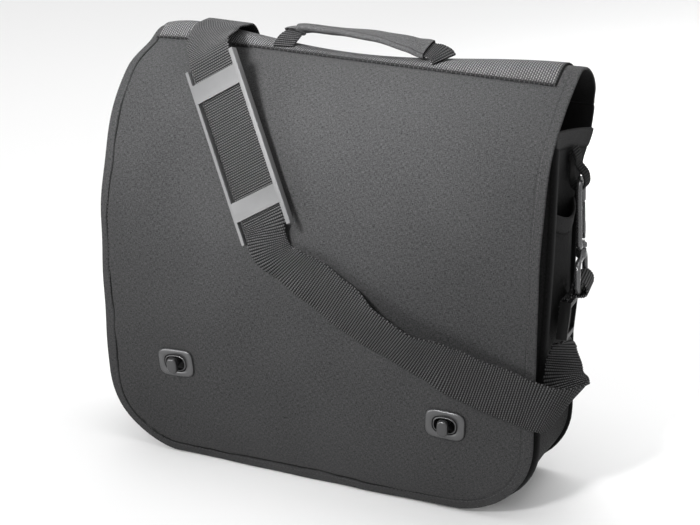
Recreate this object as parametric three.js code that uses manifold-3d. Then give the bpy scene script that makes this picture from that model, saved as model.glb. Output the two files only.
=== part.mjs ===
// Messenger bag with a full flap, two turn locks, a carrying handle and a shoulder strap.
// Millimetres, +Z up, +X to the right seen from the front, -Y to the front.
// The origin is on the floor under the middle of the bag's bottom.
import * as THREE from 'three';
import { mergeVertices } from 'three/addons/utils/BufferGeometryUtils.js';
import Module from 'manifold-3d';

const wasm = await Module();
wasm.setup();

// Driving dimensions
const GAP = 0.3;
const SEAM_GAP = 0.6;
const BACK_SEAM_GAP = 0.8;
const FLAP_WIDTH = 360;
const FLAP_CORNER = 64;
const FLAP_WALL = 2;
const FLAP_BELLY = 6;
const HEM_HEIGHT = 1;
const HEM_LIFT = 2.5;
const BODY_HALF = 175.5;
const BODY_CORNER = 56;
const BODY_WALL = 1.8;
const SEAM_OVERHANG = 2.5;
const FRONT_TOP = 286;
const GUSSET_TOP = 290;
const FLAP_TO_FRONT = 6;
const PANEL_EASE = 80;
const WEBBING = 38;
const WEBBING_WALL = 1.6;
const BAND_HALF = 167;
const TAB_WIDTH = 13;
const WIRE = 2.2;
const HOOK_HALF = 11.5;
const HOOK_RISE = 48;
const HOOK_CORNER = 6;
const EYE_HALF = 21.5;
const EYE_RISE = 26;
const FRAME_LENGTH = 142;
const FRAME_WIDTH = 47;
const FRAME_BAR = 15;
const FRAME_INSET = { upper: 12, lower: 18 };
const FRAME_RAIL = 2.4;
const FRAME_DEEP = 6;
const SLIDER_LENGTH = 28;
const LOCK_PLATE = { width: 30, height: 23, thick: 2 };
const LOCK_SLOT = { width: 17, height: 9.5 };
const LOCK_KNOB = { width: 9, height: 13.5, thick: 5 };
const LOCK_REACH = 2.5;

// Side view of the flap, from the front hem over the top to the seam on the back.
// y at the left edge and at the right edge, height, how far the middle sags there,
// and how far the left end droops.
const FLAP_LINE = [
  { name: 'hem', left: -59, right: -51, z: HEM_HEIGHT, sag: 0, droop: 0 },
  { name: 'skirt', left: -64, right: -55, z: 70, sag: 0, droop: 0 },
  { name: 'belly', left: -65.5, right: -56, z: 140, sag: 0, droop: 0 },
  { name: 'chest', left: -62.5, right: -57, z: 205, sag: 0, droop: 0 },
  { name: 'shoulder', left: -48.5, right: -50, z: 260, sag: 0, droop: 0 },
  { name: 'brow', left: -29, right: -35.5, z: 293, sag: 0, droop: 0 },
  { name: 'edge', left: 9, right: 2, z: 325, sag: 0, droop: 3 },
  { name: 'crest', left: 24, right: 23, z: 335, sag: 11, droop: 9 },
  { name: 'rear', left: 43, right: 42, z: 328.5, sag: 12, droop: 6 },
  { name: 'back', left: 57.5, right: 57.5, z: 312, sag: 4, droop: 2 },
  { name: 'seam', left: 60, right: 60, z: 300, sag: 0, droop: 0 },
];
const DROOP_REACH = 45;
// Dent in the flap's front under the strap's ladder frame: place, reach along X and Z, and depth
const FLAP_DENT = { x: -72, z: 262, reachX: 62, reachZ: 60, depth: 7 };
const FLAP_STEPS = [2, 2, 2, 3, 3, 4, 3, 3, 3, 1];
const FLAP_COLUMNS = 9;
const ROW = Object.fromEntries(FLAP_LINE.map((row, index) => [row.name, index]));
const FLAP_END = FLAP_LINE.length - 1;

// Side view of the body: front and back seam of the gusset, the back panel's middle,
// and how far the gusset is drawn in between its seams.
const BODY_LINE = [
  { z: 0, front: -33, back: 43, backMiddle: 43, sink: 0 },
  { z: 65, front: -32, back: 44, backMiddle: 49, sink: 3 },
  { z: 105, front: -29, back: 39, backMiddle: 51, sink: 8 },
  { z: 150, front: -24, back: 34, backMiddle: 52, sink: 12 },
  { z: 200, front: -20, back: 33, backMiddle: 53, sink: 12 },
  { z: 262, front: -19, back: 39, backMiddle: 55, sink: 4 },
  { z: 284, front: -19, back: 56, backMiddle: 58, sink: 3 },
  { z: 300, front: -19, back: 60, backMiddle: 60, sink: 3 },
];

// Side pocket on the gusset: top edge, bottom edge, sag of its mouth and how far it stands out
const POCKET = { top: 238, bottom: 72, sag: 12, inset: 3, off: 1.1, stand: 9 };

// Turn locks, with the roll of each plate
const LOCKS = [
  { side: 'left', x: -115, z: 84, roll: 4 },
  { side: 'right', x: 113, z: 75, roll: -2 },
];

// Colours of the finishes
const CLOTH = { color: 0x2b2b2d, roughness: 0.9, metalness: 0 };
const WEB = { color: 0x303032, roughness: 0.85, metalness: 0 };
const PLASTIC = { color: 0x6d6f72, roughness: 0.5, metalness: 0 };
const METAL = { color: 0x3c3c3f, roughness: 0.4, metalness: 0.8 };

const bag = new THREE.Group();

// General helpers
const vec = (x, y, z) => new THREE.Vector3(x, y, z);
const lerp = THREE.MathUtils.lerp;
const clamp01 = (value) => THREE.MathUtils.clamp(value, 0, 1);
const ease = (value) => THREE.MathUtils.smoothstep(value, 0, 1);
const range = (count) => Array.from({ length: count }, (_, index) => index);

function addNode(name, geometry, finish, parent = bag) {
  const mesh = new THREE.Mesh(geometry, new THREE.MeshStandardMaterial(finish));
  mesh.name = name;
  parent.add(mesh);
  return mesh;
}

// Value of one column of a table at a height, on a smooth curve through its rows
function tableCurve(rows, column) {
  const points = rows.map((row) => vec(row.z, row[column], 0));
  return (z) => {
    const last = rows.length - 2;
    let index = rows.findIndex((row) => row.z > z) - 1;
    index = THREE.MathUtils.clamp(index < -1 ? last : index, 0, last);
    const part = clamp01((z - points[index].x) / (points[index + 1].x - points[index].x));
    return lerp(points[index].y, points[index + 1].y, ease(part) * 0.4 + part * 0.6);
  };
}

function geometryFrom(vertices, triangles) {
  const geometry = new THREE.BufferGeometry();
  const flat = vertices.flatMap((point) => [point.x, point.y, point.z]);
  let volume = 0;
  for (const [a, b, c] of triangles) {
    volume += vertices[a].dot(vertices[b].clone().cross(vertices[c]));
  }
  const facing = volume < 0 ? triangles.map(([a, b, c]) => [a, c, b]) : triangles;
  geometry.setAttribute('position', new THREE.Float32BufferAttribute(flat, 3));
  geometry.setIndex(facing.flat());
  return geometry;
}

// Normals of a grid of points, from its neighbours along both directions
function gridNormals(grid) {
  const last = grid.length - 1;
  return grid.map((column, i) => column.map((point, j) => {
    const along = grid[Math.min(i + 1, last)][j].clone().sub(grid[Math.max(i - 1, 0)][j]);
    const up = column[Math.min(j + 1, column.length - 1)].clone().sub(column[Math.max(j - 1, 0)]);
    return along.cross(up).normalize();
  }));
}

// Closed wall between two grids of the same size
function closedSheet(outer, inner) {
  const columns = outer.length;
  const rows = outer[0].length;
  const vertices = [...outer.flat(), ...inner.flat()];
  const at = (i, j, side) => side * columns * rows + i * rows + j;
  const triangles = [];
  for (let i = 0; i < columns - 1; i += 1) {
    for (let j = 0; j < rows - 1; j += 1) {
      triangles.push([at(i, j, 0), at(i + 1, j, 0), at(i + 1, j + 1, 0)]);
      triangles.push([at(i, j, 0), at(i + 1, j + 1, 0), at(i, j + 1, 0)]);
      triangles.push([at(i, j, 1), at(i + 1, j + 1, 1), at(i + 1, j, 1)]);
      triangles.push([at(i, j, 1), at(i, j + 1, 1), at(i + 1, j + 1, 1)]);
    }
  }
  const rim = [];
  range(columns).forEach((i) => rim.push([i, 0]));
  range(rows - 1).forEach((j) => rim.push([columns - 1, j + 1]));
  range(columns - 1).forEach((i) => rim.push([columns - 2 - i, rows - 1]));
  range(rows - 2).forEach((j) => rim.push([0, rows - 2 - j]));
  rim.forEach(([i, j], index) => {
    const [k, l] = rim[(index + 1) % rim.length];
    triangles.push([at(k, l, 0), at(i, j, 0), at(i, j, 1)]);
    triangles.push([at(k, l, 0), at(i, j, 1), at(k, l, 1)]);
  });
  return geometryFrom(vertices, triangles);
}

// Wall of cloth along a grid's normals, between two distances from the grid
function clothWall(grid, outerLift, innerLift) {
  const normals = gridNormals(grid);
  const moved = (lift) => grid.map((column, i) => column.map((point, j) =>
    point.clone().addScaledVector(normals[i][j], lift)));
  return closedSheet(moved(outerLift), moved(innerLift));
}

// Wall of cloth with its thickness along Y
function panelWall(grid, wall) {
  const back = grid.map((column) => column.map((point) => point.clone().add(vec(0, wall, 0))));
  return closedSheet(grid, back);
}

// Wire of round section along flat points; upright is the normal of the points' plane
function wireGeometry(points, upright, radius, closed, sides = 8) {
  const count = points.length;
  const vertices = [];
  points.forEach((point, i) => {
    const before = points[closed ? (i + count - 1) % count : Math.max(i - 1, 0)];
    const after = points[closed ? (i + 1) % count : Math.min(i + 1, count - 1)];
    const tangent = after.clone().sub(before).normalize();
    const aside = tangent.clone().cross(upright);
    range(sides).forEach((k) => {
      const angle = (k + 0.5) / sides * 2 * Math.PI;
      vertices.push(point.clone().addScaledVector(aside, radius * Math.cos(angle))
        .addScaledVector(upright, radius * Math.sin(angle)));
    });
  });
  const triangles = [];
  range(closed ? count : count - 1).forEach((i) => range(sides).forEach((k) => {
    const next = (i + 1) % count;
    const turn = (k + 1) % sides;
    triangles.push([i * sides + k, next * sides + k, next * sides + turn]);
    triangles.push([i * sides + k, next * sides + turn, i * sides + turn]);
  }));
  if (!closed) {
    const end = (count - 1) * sides;
    for (let k = 1; k < sides - 1; k += 1) {
      triangles.push([0, k, k + 1]);
      triangles.push([end, end + k + 1, end + k]);
    }
  }
  return geometryFrom(vertices, triangles);
}

// Solids for joining and cutting
function solid(geometry) {
  const bare = geometry.clone();
  bare.deleteAttribute('normal');
  bare.deleteAttribute('uv');
  const merged = mergeVertices(bare, 1e-4);
  return new wasm.Manifold(new wasm.Mesh({
    numProp: 3,
    vertProperties: new Float32Array(merged.attributes.position.array),
    triVerts: new Uint32Array(merged.index.array),
  }));
}

function geometryOf(manifold) {
  const mesh = manifold.getMesh();
  const geometry = new THREE.BufferGeometry();
  geometry.setAttribute('position', new THREE.BufferAttribute(mesh.vertProperties, 3));
  geometry.setIndex(new THREE.BufferAttribute(mesh.triVerts, 1));
  return geometry;
}

function joined(geometries) {
  return geometryOf(geometries.map(solid).reduce((sum, next) => sum.add(next)));
}

function boxAt(size, centre) {
  return new THREE.BoxGeometry(...size).translate(...centre);
}

// Outline of a long hole or knob with round ends, longer along its first size
function oblong(length, width) {
  const radius = width / 2;
  const straight = (length - width) / 2;
  const shape = new THREE.Shape();
  shape.absarc(straight, 0, radius, -Math.PI / 2, Math.PI / 2, false);
  shape.absarc(-straight, 0, radius, Math.PI / 2, Math.PI * 1.5, false);
  return shape;
}

// Flap
function dentAt(x, z) {
  const away = ((x - FLAP_DENT.x) / FLAP_DENT.reachX) ** 2 + ((z - FLAP_DENT.z) / FLAP_DENT.reachZ) ** 2;
  return FLAP_DENT.depth * Math.exp(-away);
}

function flapCurve(x) {
  const across = (x + FLAP_WIDTH / 2) / FLAP_WIDTH;
  const swell = Math.sin(Math.PI * clamp01(across));
  const leftEnd = clamp01(1 - (x + FLAP_WIDTH / 2) / DROOP_REACH) ** 2;
  const points = FLAP_LINE.map((row) => {
    const full = FLAP_BELLY * swell * Math.sin(Math.PI * clamp01(row.z / FLAP_LINE[ROW.edge].z));
    const inFront = FLAP_LINE.indexOf(row) <= ROW.edge;
    const forward = inFront ? full - dentAt(x, row.z) : 0;
    const fall = row.sag * swell ** 2 + row.droop * leftEnd;
    return vec(x, lerp(row.left, row.right, across) - forward, row.z - fall);
  });
  return new THREE.CatmullRomCurve3(points, false, 'centripetal');
}

const flapPoint = (x, row) => flapCurve(x).getPoint(row / FLAP_END);

function flapNormal(x, row) {
  const step = 0.05;
  const along = flapPoint(x + 2, row).sub(flapPoint(x - 2, row));
  const up = flapPoint(x, Math.min(row + step, FLAP_END)).sub(flapPoint(x, Math.max(row - step, 0)));
  return along.cross(up).normalize();
}

// Row of the flap's front at a height
function flapRowAt(x, z) {
  const curve = flapCurve(x);
  let low = 0;
  let high = ROW.crest;
  range(24).forEach(() => {
    const middle = (low + high) / 2;
    if (curve.getPoint(middle / FLAP_END).z < z) {
      low = middle;
    } else {
      high = middle;
    }
  });
  return low;
}

function cornerRise(x, half, radius) {
  const beyond = Math.max(Math.abs(x) - (half - radius), 0);
  return radius - Math.sqrt(Math.max(radius * radius - beyond * beyond, 0));
}

// How far in from the side edges the flap is drawn at the top: more on the left, a little at the back
const DRAWN_IN = { left: 8, from: 5.35, to: 6, seam: 2.5 };

function drawnIn(x, row) {
  const atSeam = ease(clamp01((row - ROW.rear) / (FLAP_END - ROW.rear)));
  const atTop = ease(clamp01((row - DRAWN_IN.from) / (DRAWN_IN.to - DRAWN_IN.from)));
  const inset = lerp(x < 0 ? DRAWN_IN.left * atTop : 0, DRAWN_IN.seam, atSeam);
  return x * (1 - inset / (FLAP_WIDTH / 2));
}

const flapRows = FLAP_STEPS.flatMap((steps, index) => range(steps).map((k) => index + k / steps));
flapRows.push(FLAP_END);

const flapColumns = range(2 * FLAP_COLUMNS + 1).map((k) =>
  FLAP_WIDTH / 2 * Math.sin((k - FLAP_COLUMNS) / FLAP_COLUMNS * Math.PI / 2));

function flapGrid() {
  return flapColumns.map((x) => {
    const rightLift = HEM_LIFT * clamp01(2 * x / FLAP_WIDTH);
    const hem = HEM_HEIGHT + rightLift + cornerRise(x, FLAP_WIDTH / 2, FLAP_CORNER);
    const first = flapRowAt(x, hem);
    return flapRows.map((row) => {
      const lifted = row < ROW.belly ? first + row * (ROW.belly - first) / ROW.belly : row;
      return flapPoint(drawnIn(x, lifted), lifted);
    });
  });
}

// Frame of a lock: origin on the flap's face, Z out of the flap, Y up along it
function lockMatrix({ x, z, roll }) {
  const row = flapRowAt(x, z);
  const out = flapNormal(x, row);
  const up = vec(0, 0, 1).projectOnPlane(out).normalize();
  const aside = up.clone().cross(out);
  const origin = flapPoint(x, row).addScaledVector(out, FLAP_WALL / 2);
  const matrix = new THREE.Matrix4().makeBasis(aside, up, out).setPosition(origin);
  return matrix.multiply(new THREE.Matrix4().makeRotationZ(THREE.MathUtils.degToRad(roll)));
}

function addFlap() {
  let flap = solid(clothWall(flapGrid(), FLAP_WALL / 2, -FLAP_WALL / 2));
  LOCKS.forEach((lock) => {
    const hole = new THREE.ExtrudeGeometry(oblong(LOCK_SLOT.width, LOCK_SLOT.height),
      { depth: 12, bevelEnabled: false, curveSegments: 6 });
    hole.translate(0, 0, -6).applyMatrix4(lockMatrix(lock));
    flap = flap.subtract(solid(hole));
  });
  addNode('flap', geometryOf(flap), CLOTH);
}

// Body
const frontSeam = tableCurve(BODY_LINE, 'front');
const backSeam = tableCurve(BODY_LINE, 'back');
const backMiddle = tableCurve(BODY_LINE, 'backMiddle');
const gussetSink = tableCurve(BODY_LINE, 'sink');
const PANEL_HALF = BODY_HALF + SEAM_OVERHANG;

// How far a point of a panel is from the panel's sewn edges, 0 at the edge to 1 well inside
function panelInside(x, z) {
  const fromSide = PANEL_HALF - Math.abs(x);
  const rise = z - cornerRise(x, PANEL_HALF, BODY_CORNER);
  return ease(clamp01(fromSide / PANEL_EASE)) * ease(clamp01(rise / PANEL_EASE));
}

function frontFace(x, z) {
  const free = flapPoint(x, flapRowAt(x, z)).y + FLAP_TO_FRONT;
  return Math.max(lerp(frontSeam(z), free, panelInside(x, z)), free);
}

const backFace = (x, z) => lerp(backSeam(z), backMiddle(z), panelInside(x, z));

function panelGrid(face, top, rows) {
  const columns = 9;
  return range(2 * columns + 1).map((k) => {
    const x = PANEL_HALF * Math.sin((k - columns) / columns * Math.PI / 2);
    const bottom = cornerRise(x, PANEL_HALF, BODY_CORNER);
    return range(rows + 1).map((j) => {
      const z = lerp(bottom + (k === 0 || k === 2 * columns ? 0 : 0.2), top, j / rows);
      return vec(x, face(x, z), z);
    });
  });
}

// Outline of the gusset from the right top, round the bottom, to the left top
function gussetOutline() {
  const outline = [];
  const arcSteps = 6;
  const sideHeights = [GUSSET_TOP, 276, 262, 240, 218, 192, 166, 140, 114, 88];
  sideHeights.forEach((z) => outline.push({ x: BODY_HALF, z, outX: 1, outZ: 0 }));
  range(arcSteps + 1).forEach((k) => {
    const angle = k / arcSteps * Math.PI / 2;
    outline.push({
      x: BODY_HALF - BODY_CORNER + BODY_CORNER * Math.cos(angle),
      z: BODY_CORNER - BODY_CORNER * Math.sin(angle),
      outX: Math.cos(angle),
      outZ: -Math.sin(angle),
    });
  });
  const mirrored = outline.map((point) => ({ ...point, x: -point.x, outX: -point.outX }));
  return [...outline, ...mirrored.reverse()];
}

function gussetPoint({ x, z, outX, outZ }, part) {
  const from = frontSeam(z) + BODY_WALL + SEAM_GAP;
  const to = backSeam(z) - BODY_WALL - BACK_SEAM_GAP;
  const drawn = gussetSink(z) * 4 * part * (1 - part);
  return vec(x - outX * drawn, lerp(from, to, part), z - outZ * drawn);
}

function addBody() {
  addNode('front_panel', panelWall(panelGrid(frontFace, FRONT_TOP, 12), BODY_WALL), CLOTH);
  const back = panelGrid((x, z) => backFace(x, z) - BODY_WALL, FLAP_LINE[FLAP_END].z - BACK_SEAM_GAP, 13);
  addNode('back_panel', panelWall(back, BODY_WALL), CLOTH);
  const across = 6;
  const outline = gussetOutline();
  const outer = outline.map((point) => range(across + 1).map((j) => gussetPoint(point, j / across)));
  const inner = outline.map((point) => range(across + 1).map((j) =>
    gussetPoint(point, j / across).add(vec(-point.outX * BODY_WALL, 0, -point.outZ * BODY_WALL))));
  addNode('gusset', closedSheet(outer, inner), CLOTH);
}

// Patch pocket on one side of the gusset, its mouth standing open
function pocketGeometry(side) {
  const rows = 8;
  const across = 6;
  const grid = (lift) => range(rows + 1).map((i) => range(across + 1).map((j) => {
    const part = j / across;
    const arch = 4 * part * (1 - part);
    const down = i / rows;
    const z = lerp(POCKET.top - POCKET.sag * arch, POCKET.bottom, down);
    const from = frontSeam(z) + BODY_WALL + POCKET.inset;
    const to = backSeam(z) - BODY_WALL - POCKET.inset;
    const seat = gussetPoint({ x: BODY_HALF, z, outX: 1, outZ: 0 },
      lerp(POCKET.inset, to - from + POCKET.inset, part) / (to - from + 2 * POCKET.inset));
    const stand = POCKET.stand * arch * Math.cos(down * Math.PI / 2);
    return vec(side * (seat.x + POCKET.off + stand + lift), lerp(from, to, part), z);
  }));
  return closedSheet(grid(BODY_WALL), grid(0));
}

// Ribbon of webbing through stations, each with its centre, its direction across and its width
function webbing(stations, width, wall, steps = 4, columns = 2) {
  const closedEnds = false;
  const centre = new THREE.CatmullRomCurve3(stations.map((row) => row.at), closedEnds, 'centripetal');
  const spans = stations.length - 1;
  const grid = range(spans * steps + 1).map((k) => {
    const place = k / steps;
    const index = Math.min(Math.floor(place), spans - 1);
    const part = ease(place - index);
    const across = stations[index].across.clone().lerp(stations[index + 1].across, part).normalize();
    const spread = lerp(stations[index].spread ?? 1, stations[index + 1].spread ?? 1, part);
    const middle = centre.getPoint(place / spans);
    return range(columns + 1).map((j) =>
      middle.clone().addScaledVector(across, (j / columns - 0.5) * width * spread));
  });
  return clothWall(grid, wall / 2, -wall / 2);
}

// Band of webbing along the top of the flap
function addTopBand() {
  const inside = flapColumns.filter((x) => Math.abs(drawnIn(x, ROW.crest)) < BAND_HALF - 3);
  const leftEnd = -BAND_HALF / (1 - DRAWN_IN.left / (FLAP_WIDTH / 2));
  const columns = [leftEnd, ...inside, BAND_HALF];
  const rows = flapRows.filter((row) => row >= ROW.edge && row <= ROW.rear);
  const grid = columns.map((x) => rows.map((row) => {
    const at = drawnIn(x, row);
    return flapPoint(at, row).addScaledVector(flapNormal(at, row), FLAP_WALL / 2 + GAP);
  }));
  addNode('top_band', clothWall(grid, WEBBING_WALL, 0), WEB);
}

// Handle: webbing whose feet stand on the band, with a sleeve round its middle
const HANDLE_ARCH = [
  { x: -70, rise: 1.1, tilt: 0, turn: 0 },
  { x: -62, rise: 1.8, tilt: 0, turn: 0 },
  { x: -57, rise: 4.8, tilt: 0, turn: 24 },
  { x: -52, rise: 10, tilt: -6, turn: 30 },
  { x: -43, rise: 13.6, tilt: -17, turn: 8 },
  { x: -18, rise: 15.6, tilt: -16, turn: 0 },
  { x: 18, rise: 15.2, tilt: -6, turn: 0 },
  { x: 46, rise: 10, tilt: 4, turn: 0 },
  { x: 60, rise: 6.6, tilt: 8, turn: 0 },
  { x: 69, rise: 3.6, tilt: 4, turn: 0 },
  { x: 77, rise: 1.6, tilt: 0, turn: 0 },
  { x: 85, rise: 1.1, tilt: 0, turn: 0 },
];
const HANDLE_WIDTH = 20;
const GRIP = { from: 3.5, to: 8.3, width: 25, depth: 6.6, sides: 10, steps: 9 };

function handleStation({ x, rise, tilt, turn }) {
  const row = (ROW.crest + ROW.edge) / 2 + 0.35;
  const out = flapNormal(x, row);
  const seat = flapPoint(x, row).addScaledVector(out, FLAP_WALL / 2 + GAP + WEBBING_WALL + GAP);
  const tipped = THREE.MathUtils.degToRad(tilt);
  const turned = THREE.MathUtils.degToRad(turn);
  const level = clamp01(rise / 10);
  const onBand = vec(0, 1, 0).projectOnPlane(out).normalize();
  const free = vec(Math.sin(turned), Math.cos(turned), Math.tan(tipped)).normalize();
  const across = onBand.lerp(free, level).normalize();
  return { at: seat.add(vec(0, 0, rise)), across };
}

function addHandle() {
  const stations = HANDLE_ARCH.map(handleStation);
  const spans = stations.length - 1;
  addNode('handle_web', webbing(stations, HANDLE_WIDTH, WEBBING_WALL, 3, 2), WEB);
  const centre = new THREE.CatmullRomCurve3(stations.map((row) => row.at), false, 'centripetal');
  const ringAt = (place, width, depth) => {
    const index = Math.min(Math.floor(place), spans - 1);
    const across = stations[index].across.clone().lerp(stations[index + 1].across, ease(place - index));
    const tangent = centre.getTangent(place / spans);
    across.normalize();
    const out = tangent.clone().cross(across).normalize();
    return range(GRIP.sides).map((k) => {
      const angle = (k + 0.5) / GRIP.sides * 2 * Math.PI;
      const squareness = 0.6;
      const round = (value) => Math.sign(value) * Math.abs(value) ** squareness;
      return centre.getPoint(place / spans)
        .addScaledVector(across, width / 2 * round(Math.cos(angle)))
        .addScaledVector(out, depth / 2 * round(Math.sin(angle)));
    });
  };
  const places = range(GRIP.steps + 1).map((k) => lerp(GRIP.from, GRIP.to, k / GRIP.steps));
  const outer = places.map((place) => ringAt(place, GRIP.width, GRIP.depth));
  const inner = places.map((place) => ringAt(place, HANDLE_WIDTH + 2.8, WEBBING_WALL + 2.8));
  const loops = [...outer, ...inner.reverse()];
  const vertices = loops.flat();
  const triangles = [];
  range(loops.length).forEach((i) => range(GRIP.sides).forEach((k) => {
    const next = (i + 1) % loops.length;
    const turn = (k + 1) % GRIP.sides;
    triangles.push([i * GRIP.sides + k, next * GRIP.sides + k, next * GRIP.sides + turn]);
    triangles.push([i * GRIP.sides + k, next * GRIP.sides + turn, i * GRIP.sides + turn]);
  }));
  addNode('handle_grip', geometryFrom(vertices, triangles), CLOTH);
}

// Turn locks: plate on the flap, post from the front panel through it, knob on the post
function addLock(lock) {
  const group = new THREE.Group();
  lockMatrix(lock).decompose(group.position, group.quaternion, group.scale);
  bag.add(group);
  const { width, height, thick } = LOCK_PLATE;
  const outline = new THREE.Shape();
  const bow = 2;
  const corner = 4;
  outline.moveTo(-width / 2 + corner, -height / 2 + bow / 2);
  outline.quadraticCurveTo(0, -height / 2 - bow / 2, width / 2 - corner, -height / 2 + bow / 2);
  outline.quadraticCurveTo(width / 2, -height / 2 + bow / 2, width / 2, -height / 2 + corner);
  outline.lineTo(width / 2, height / 2 - corner);
  outline.quadraticCurveTo(width / 2, height / 2 - bow / 2, width / 2 - corner, height / 2 - bow / 2);
  outline.quadraticCurveTo(0, height / 2 + bow / 2, -width / 2 + corner, height / 2 - bow / 2);
  outline.quadraticCurveTo(-width / 2, height / 2 - bow / 2, -width / 2, height / 2 - corner);
  outline.lineTo(-width / 2, -height / 2 + corner);
  outline.quadraticCurveTo(-width / 2, -height / 2 + bow / 2, -width / 2 + corner, -height / 2 + bow / 2);
  const holeInset = 1;
  outline.holes.push(new THREE.Path(
    oblong(LOCK_SLOT.width - holeInset, LOCK_SLOT.height - holeInset).getPoints(4)));
  const plate = new THREE.ExtrudeGeometry(outline, {
    depth: thick - 0.8, bevelThickness: 0.4, bevelSize: 0.4, bevelOffset: -0.4, bevelSegments: 1,
    curveSegments: 2,
  });
  plate.translate(0, 0, GAP + 0.4);
  addNode(`lock_${lock.side}_plate`, plate, METAL, group);

  const panel = frontFace(lock.x, lock.z);
  const depth = group.position.y - panel + SEAM_GAP;
  const knobSeat = thick + LOCK_REACH;
  const post = new THREE.CylinderGeometry(2.6, 2.6, knobSeat - depth, 12).rotateX(Math.PI / 2);
  post.translate(0, 0, (knobSeat + depth) / 2);
  addNode(`lock_${lock.side}_post`, post, METAL, group);

  const knob = new THREE.ExtrudeGeometry(oblong(LOCK_KNOB.height, LOCK_KNOB.width), {
    depth: LOCK_KNOB.thick - 2, bevelThickness: 1, bevelSize: 1, bevelOffset: -1, bevelSegments: 1,
    curveSegments: 5,
  });
  knob.rotateZ(Math.PI / 2).translate(0, 0, knobSeat + GAP + 1);
  addNode(`lock_${lock.side}_knob`, knob, METAL, group);
}

// Hook hardware on one side; its frame has X out of the bag, Y across the webbing, Z up the hook.
// The origin is the middle of the eye's lower bar.
const HOOK_FOOT = { x: 191, y: 10, z: 174 };
const HOOK_HEAD = { x: 184.5, y: 17, z: 252 };
const HOOK_TURN = 0.2;

function hookMatrix(side) {
  const foot = vec(side * HOOK_FOOT.x, HOOK_FOOT.y, HOOK_FOOT.z);
  const up = vec(side * HOOK_HEAD.x, HOOK_HEAD.y, HOOK_HEAD.z).sub(foot).normalize();
  const across = vec(-HOOK_TURN, side, 0).projectOnPlane(up).normalize();
  const out = across.clone().cross(up);
  return new THREE.Matrix4().makeBasis(out, across, up).setPosition(foot);
}

// Points on an arc in the hook's plane
function arcPoints(y, z, radius, from, to, steps) {
  return range(steps + 1).map((k) => {
    const angle = THREE.MathUtils.degToRad(lerp(from, to, k / steps));
    return vec(0, y + radius * Math.cos(angle), z + radius * Math.sin(angle));
  });
}

const HOOK_BASE = EYE_RISE + 4;
const HOOK_BEND = HOOK_BASE + HOOK_RISE - HOOK_CORNER + WIRE;
const NOSE_DROP = 12;
const GATE = { pivot: HOOK_BASE + 5.5, foot: 1.7, thick: 3.6, button: 4.5 };

function hookBody() {
  const spine = [vec(0, 0, HOOK_BASE + 2), vec(0, -HOOK_HALF + 3, HOOK_BASE + 2)];
  spine.push(vec(0, -HOOK_HALF, HOOK_BASE + 6));
  spine.push(...arcPoints(-HOOK_HALF + HOOK_CORNER, HOOK_BEND, HOOK_CORNER, 180, 90, 4));
  spine.push(...arcPoints(HOOK_HALF - HOOK_CORNER, HOOK_BEND, HOOK_CORNER, 90, 0, 4));
  spine.push(vec(0, HOOK_HALF, HOOK_BEND - NOSE_DROP));
  const collar = new THREE.CylinderGeometry(4.2, 4.6, 4, 10).rotateX(Math.PI / 2);
  collar.translate(0, 0, HOOK_BASE + 2);
  const cheek = boxAt([3.2, HOOK_HALF + 1, 3], [0, HOOK_HALF / 2, HOOK_BASE + 1.5]);
  return joined([wireGeometry(spine, vec(1, 0, 0), WIRE, false), collar, cheek]);
}

function hookGate() {
  const tip = HOOK_BEND - NOSE_DROP - GAP - 0.1;
  const low = GATE.pivot - GATE.foot;
  const half = GATE.thick / 2;
  const shape = new THREE.Shape();
  shape.moveTo(HOOK_HALF - half, low);
  shape.lineTo(HOOK_HALF + half - 0.6, low);
  shape.lineTo(HOOK_HALF + half, low + 2);
  shape.lineTo(HOOK_HALF + half + GATE.button, low + 5);
  shape.lineTo(HOOK_HALF + half + GATE.button, low + 11);
  shape.lineTo(HOOK_HALF + half, low + 14);
  shape.lineTo(HOOK_HALF + half, tip);
  shape.lineTo(HOOK_HALF - half, tip);
  const plate = new THREE.ExtrudeGeometry(shape, { depth: GATE.thick, bevelEnabled: false });
  plate.translate(0, 0, -half);
  plate.applyMatrix4(new THREE.Matrix4().makeBasis(vec(0, 1, 0), vec(0, 0, 1), vec(1, 0, 0)));
  return plate;
}

function hookEye() {
  const corner = 6;
  const loop = [
    ...arcPoints(EYE_HALF - corner, corner, corner, -90, 0, 3),
    ...arcPoints(EYE_HALF - corner, EYE_RISE - 4 - corner, corner, 0, 90, 3),
    ...arcPoints(-EYE_HALF + corner, EYE_RISE - 4 - corner, corner, 90, 180, 3),
    ...arcPoints(-EYE_HALF + corner, corner, corner, 180, 270, 3),
  ];
  const collar = new THREE.CylinderGeometry(4.2, 4.2, 8 - GAP, 10).rotateX(Math.PI / 2);
  collar.translate(0, 0, HOOK_BASE - GAP - (8 - GAP) / 2);
  return joined([wireGeometry(loop, vec(1, 0, 0), WIRE, true), collar]);
}

// Webbing loop on the gusset that the hook hangs in
function tabStations(side) {
  const anchor = 273;
  const from = frontSeam(anchor);
  const part = (HOOK_HEAD.y - from) / (backSeam(anchor) - from);
  const seat = gussetPoint({ x: BODY_HALF, z: anchor, outX: 1, outZ: 0 }, part).x + 1;
  const strand = seat + WEBBING_WALL / 2;
  const { x, z } = HOOK_HEAD;
  const profile = [
    { x: strand, z: anchor + 3 },
    { x: strand + 1, z: anchor - 6 },
    { x: x - 7, z: z + 3 },
    { x: x - 4.4, z: z - 2.8 },
    { x, z: z - 4.4 },
    { x: x + 4.2, z: z - 1 },
    { x: x + 3.4, z: z + 7 },
    { x: x - 3, z: z + 15 },
    { x: strand + 5, z: anchor - 1 },
    { x: strand + WEBBING_WALL + 0.6, z: anchor + 5 },
  ];
  return profile.map((row) => ({ at: vec(side * row.x, HOOK_HEAD.y, row.z), across: vec(0, 1, 0) }));
}

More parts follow.
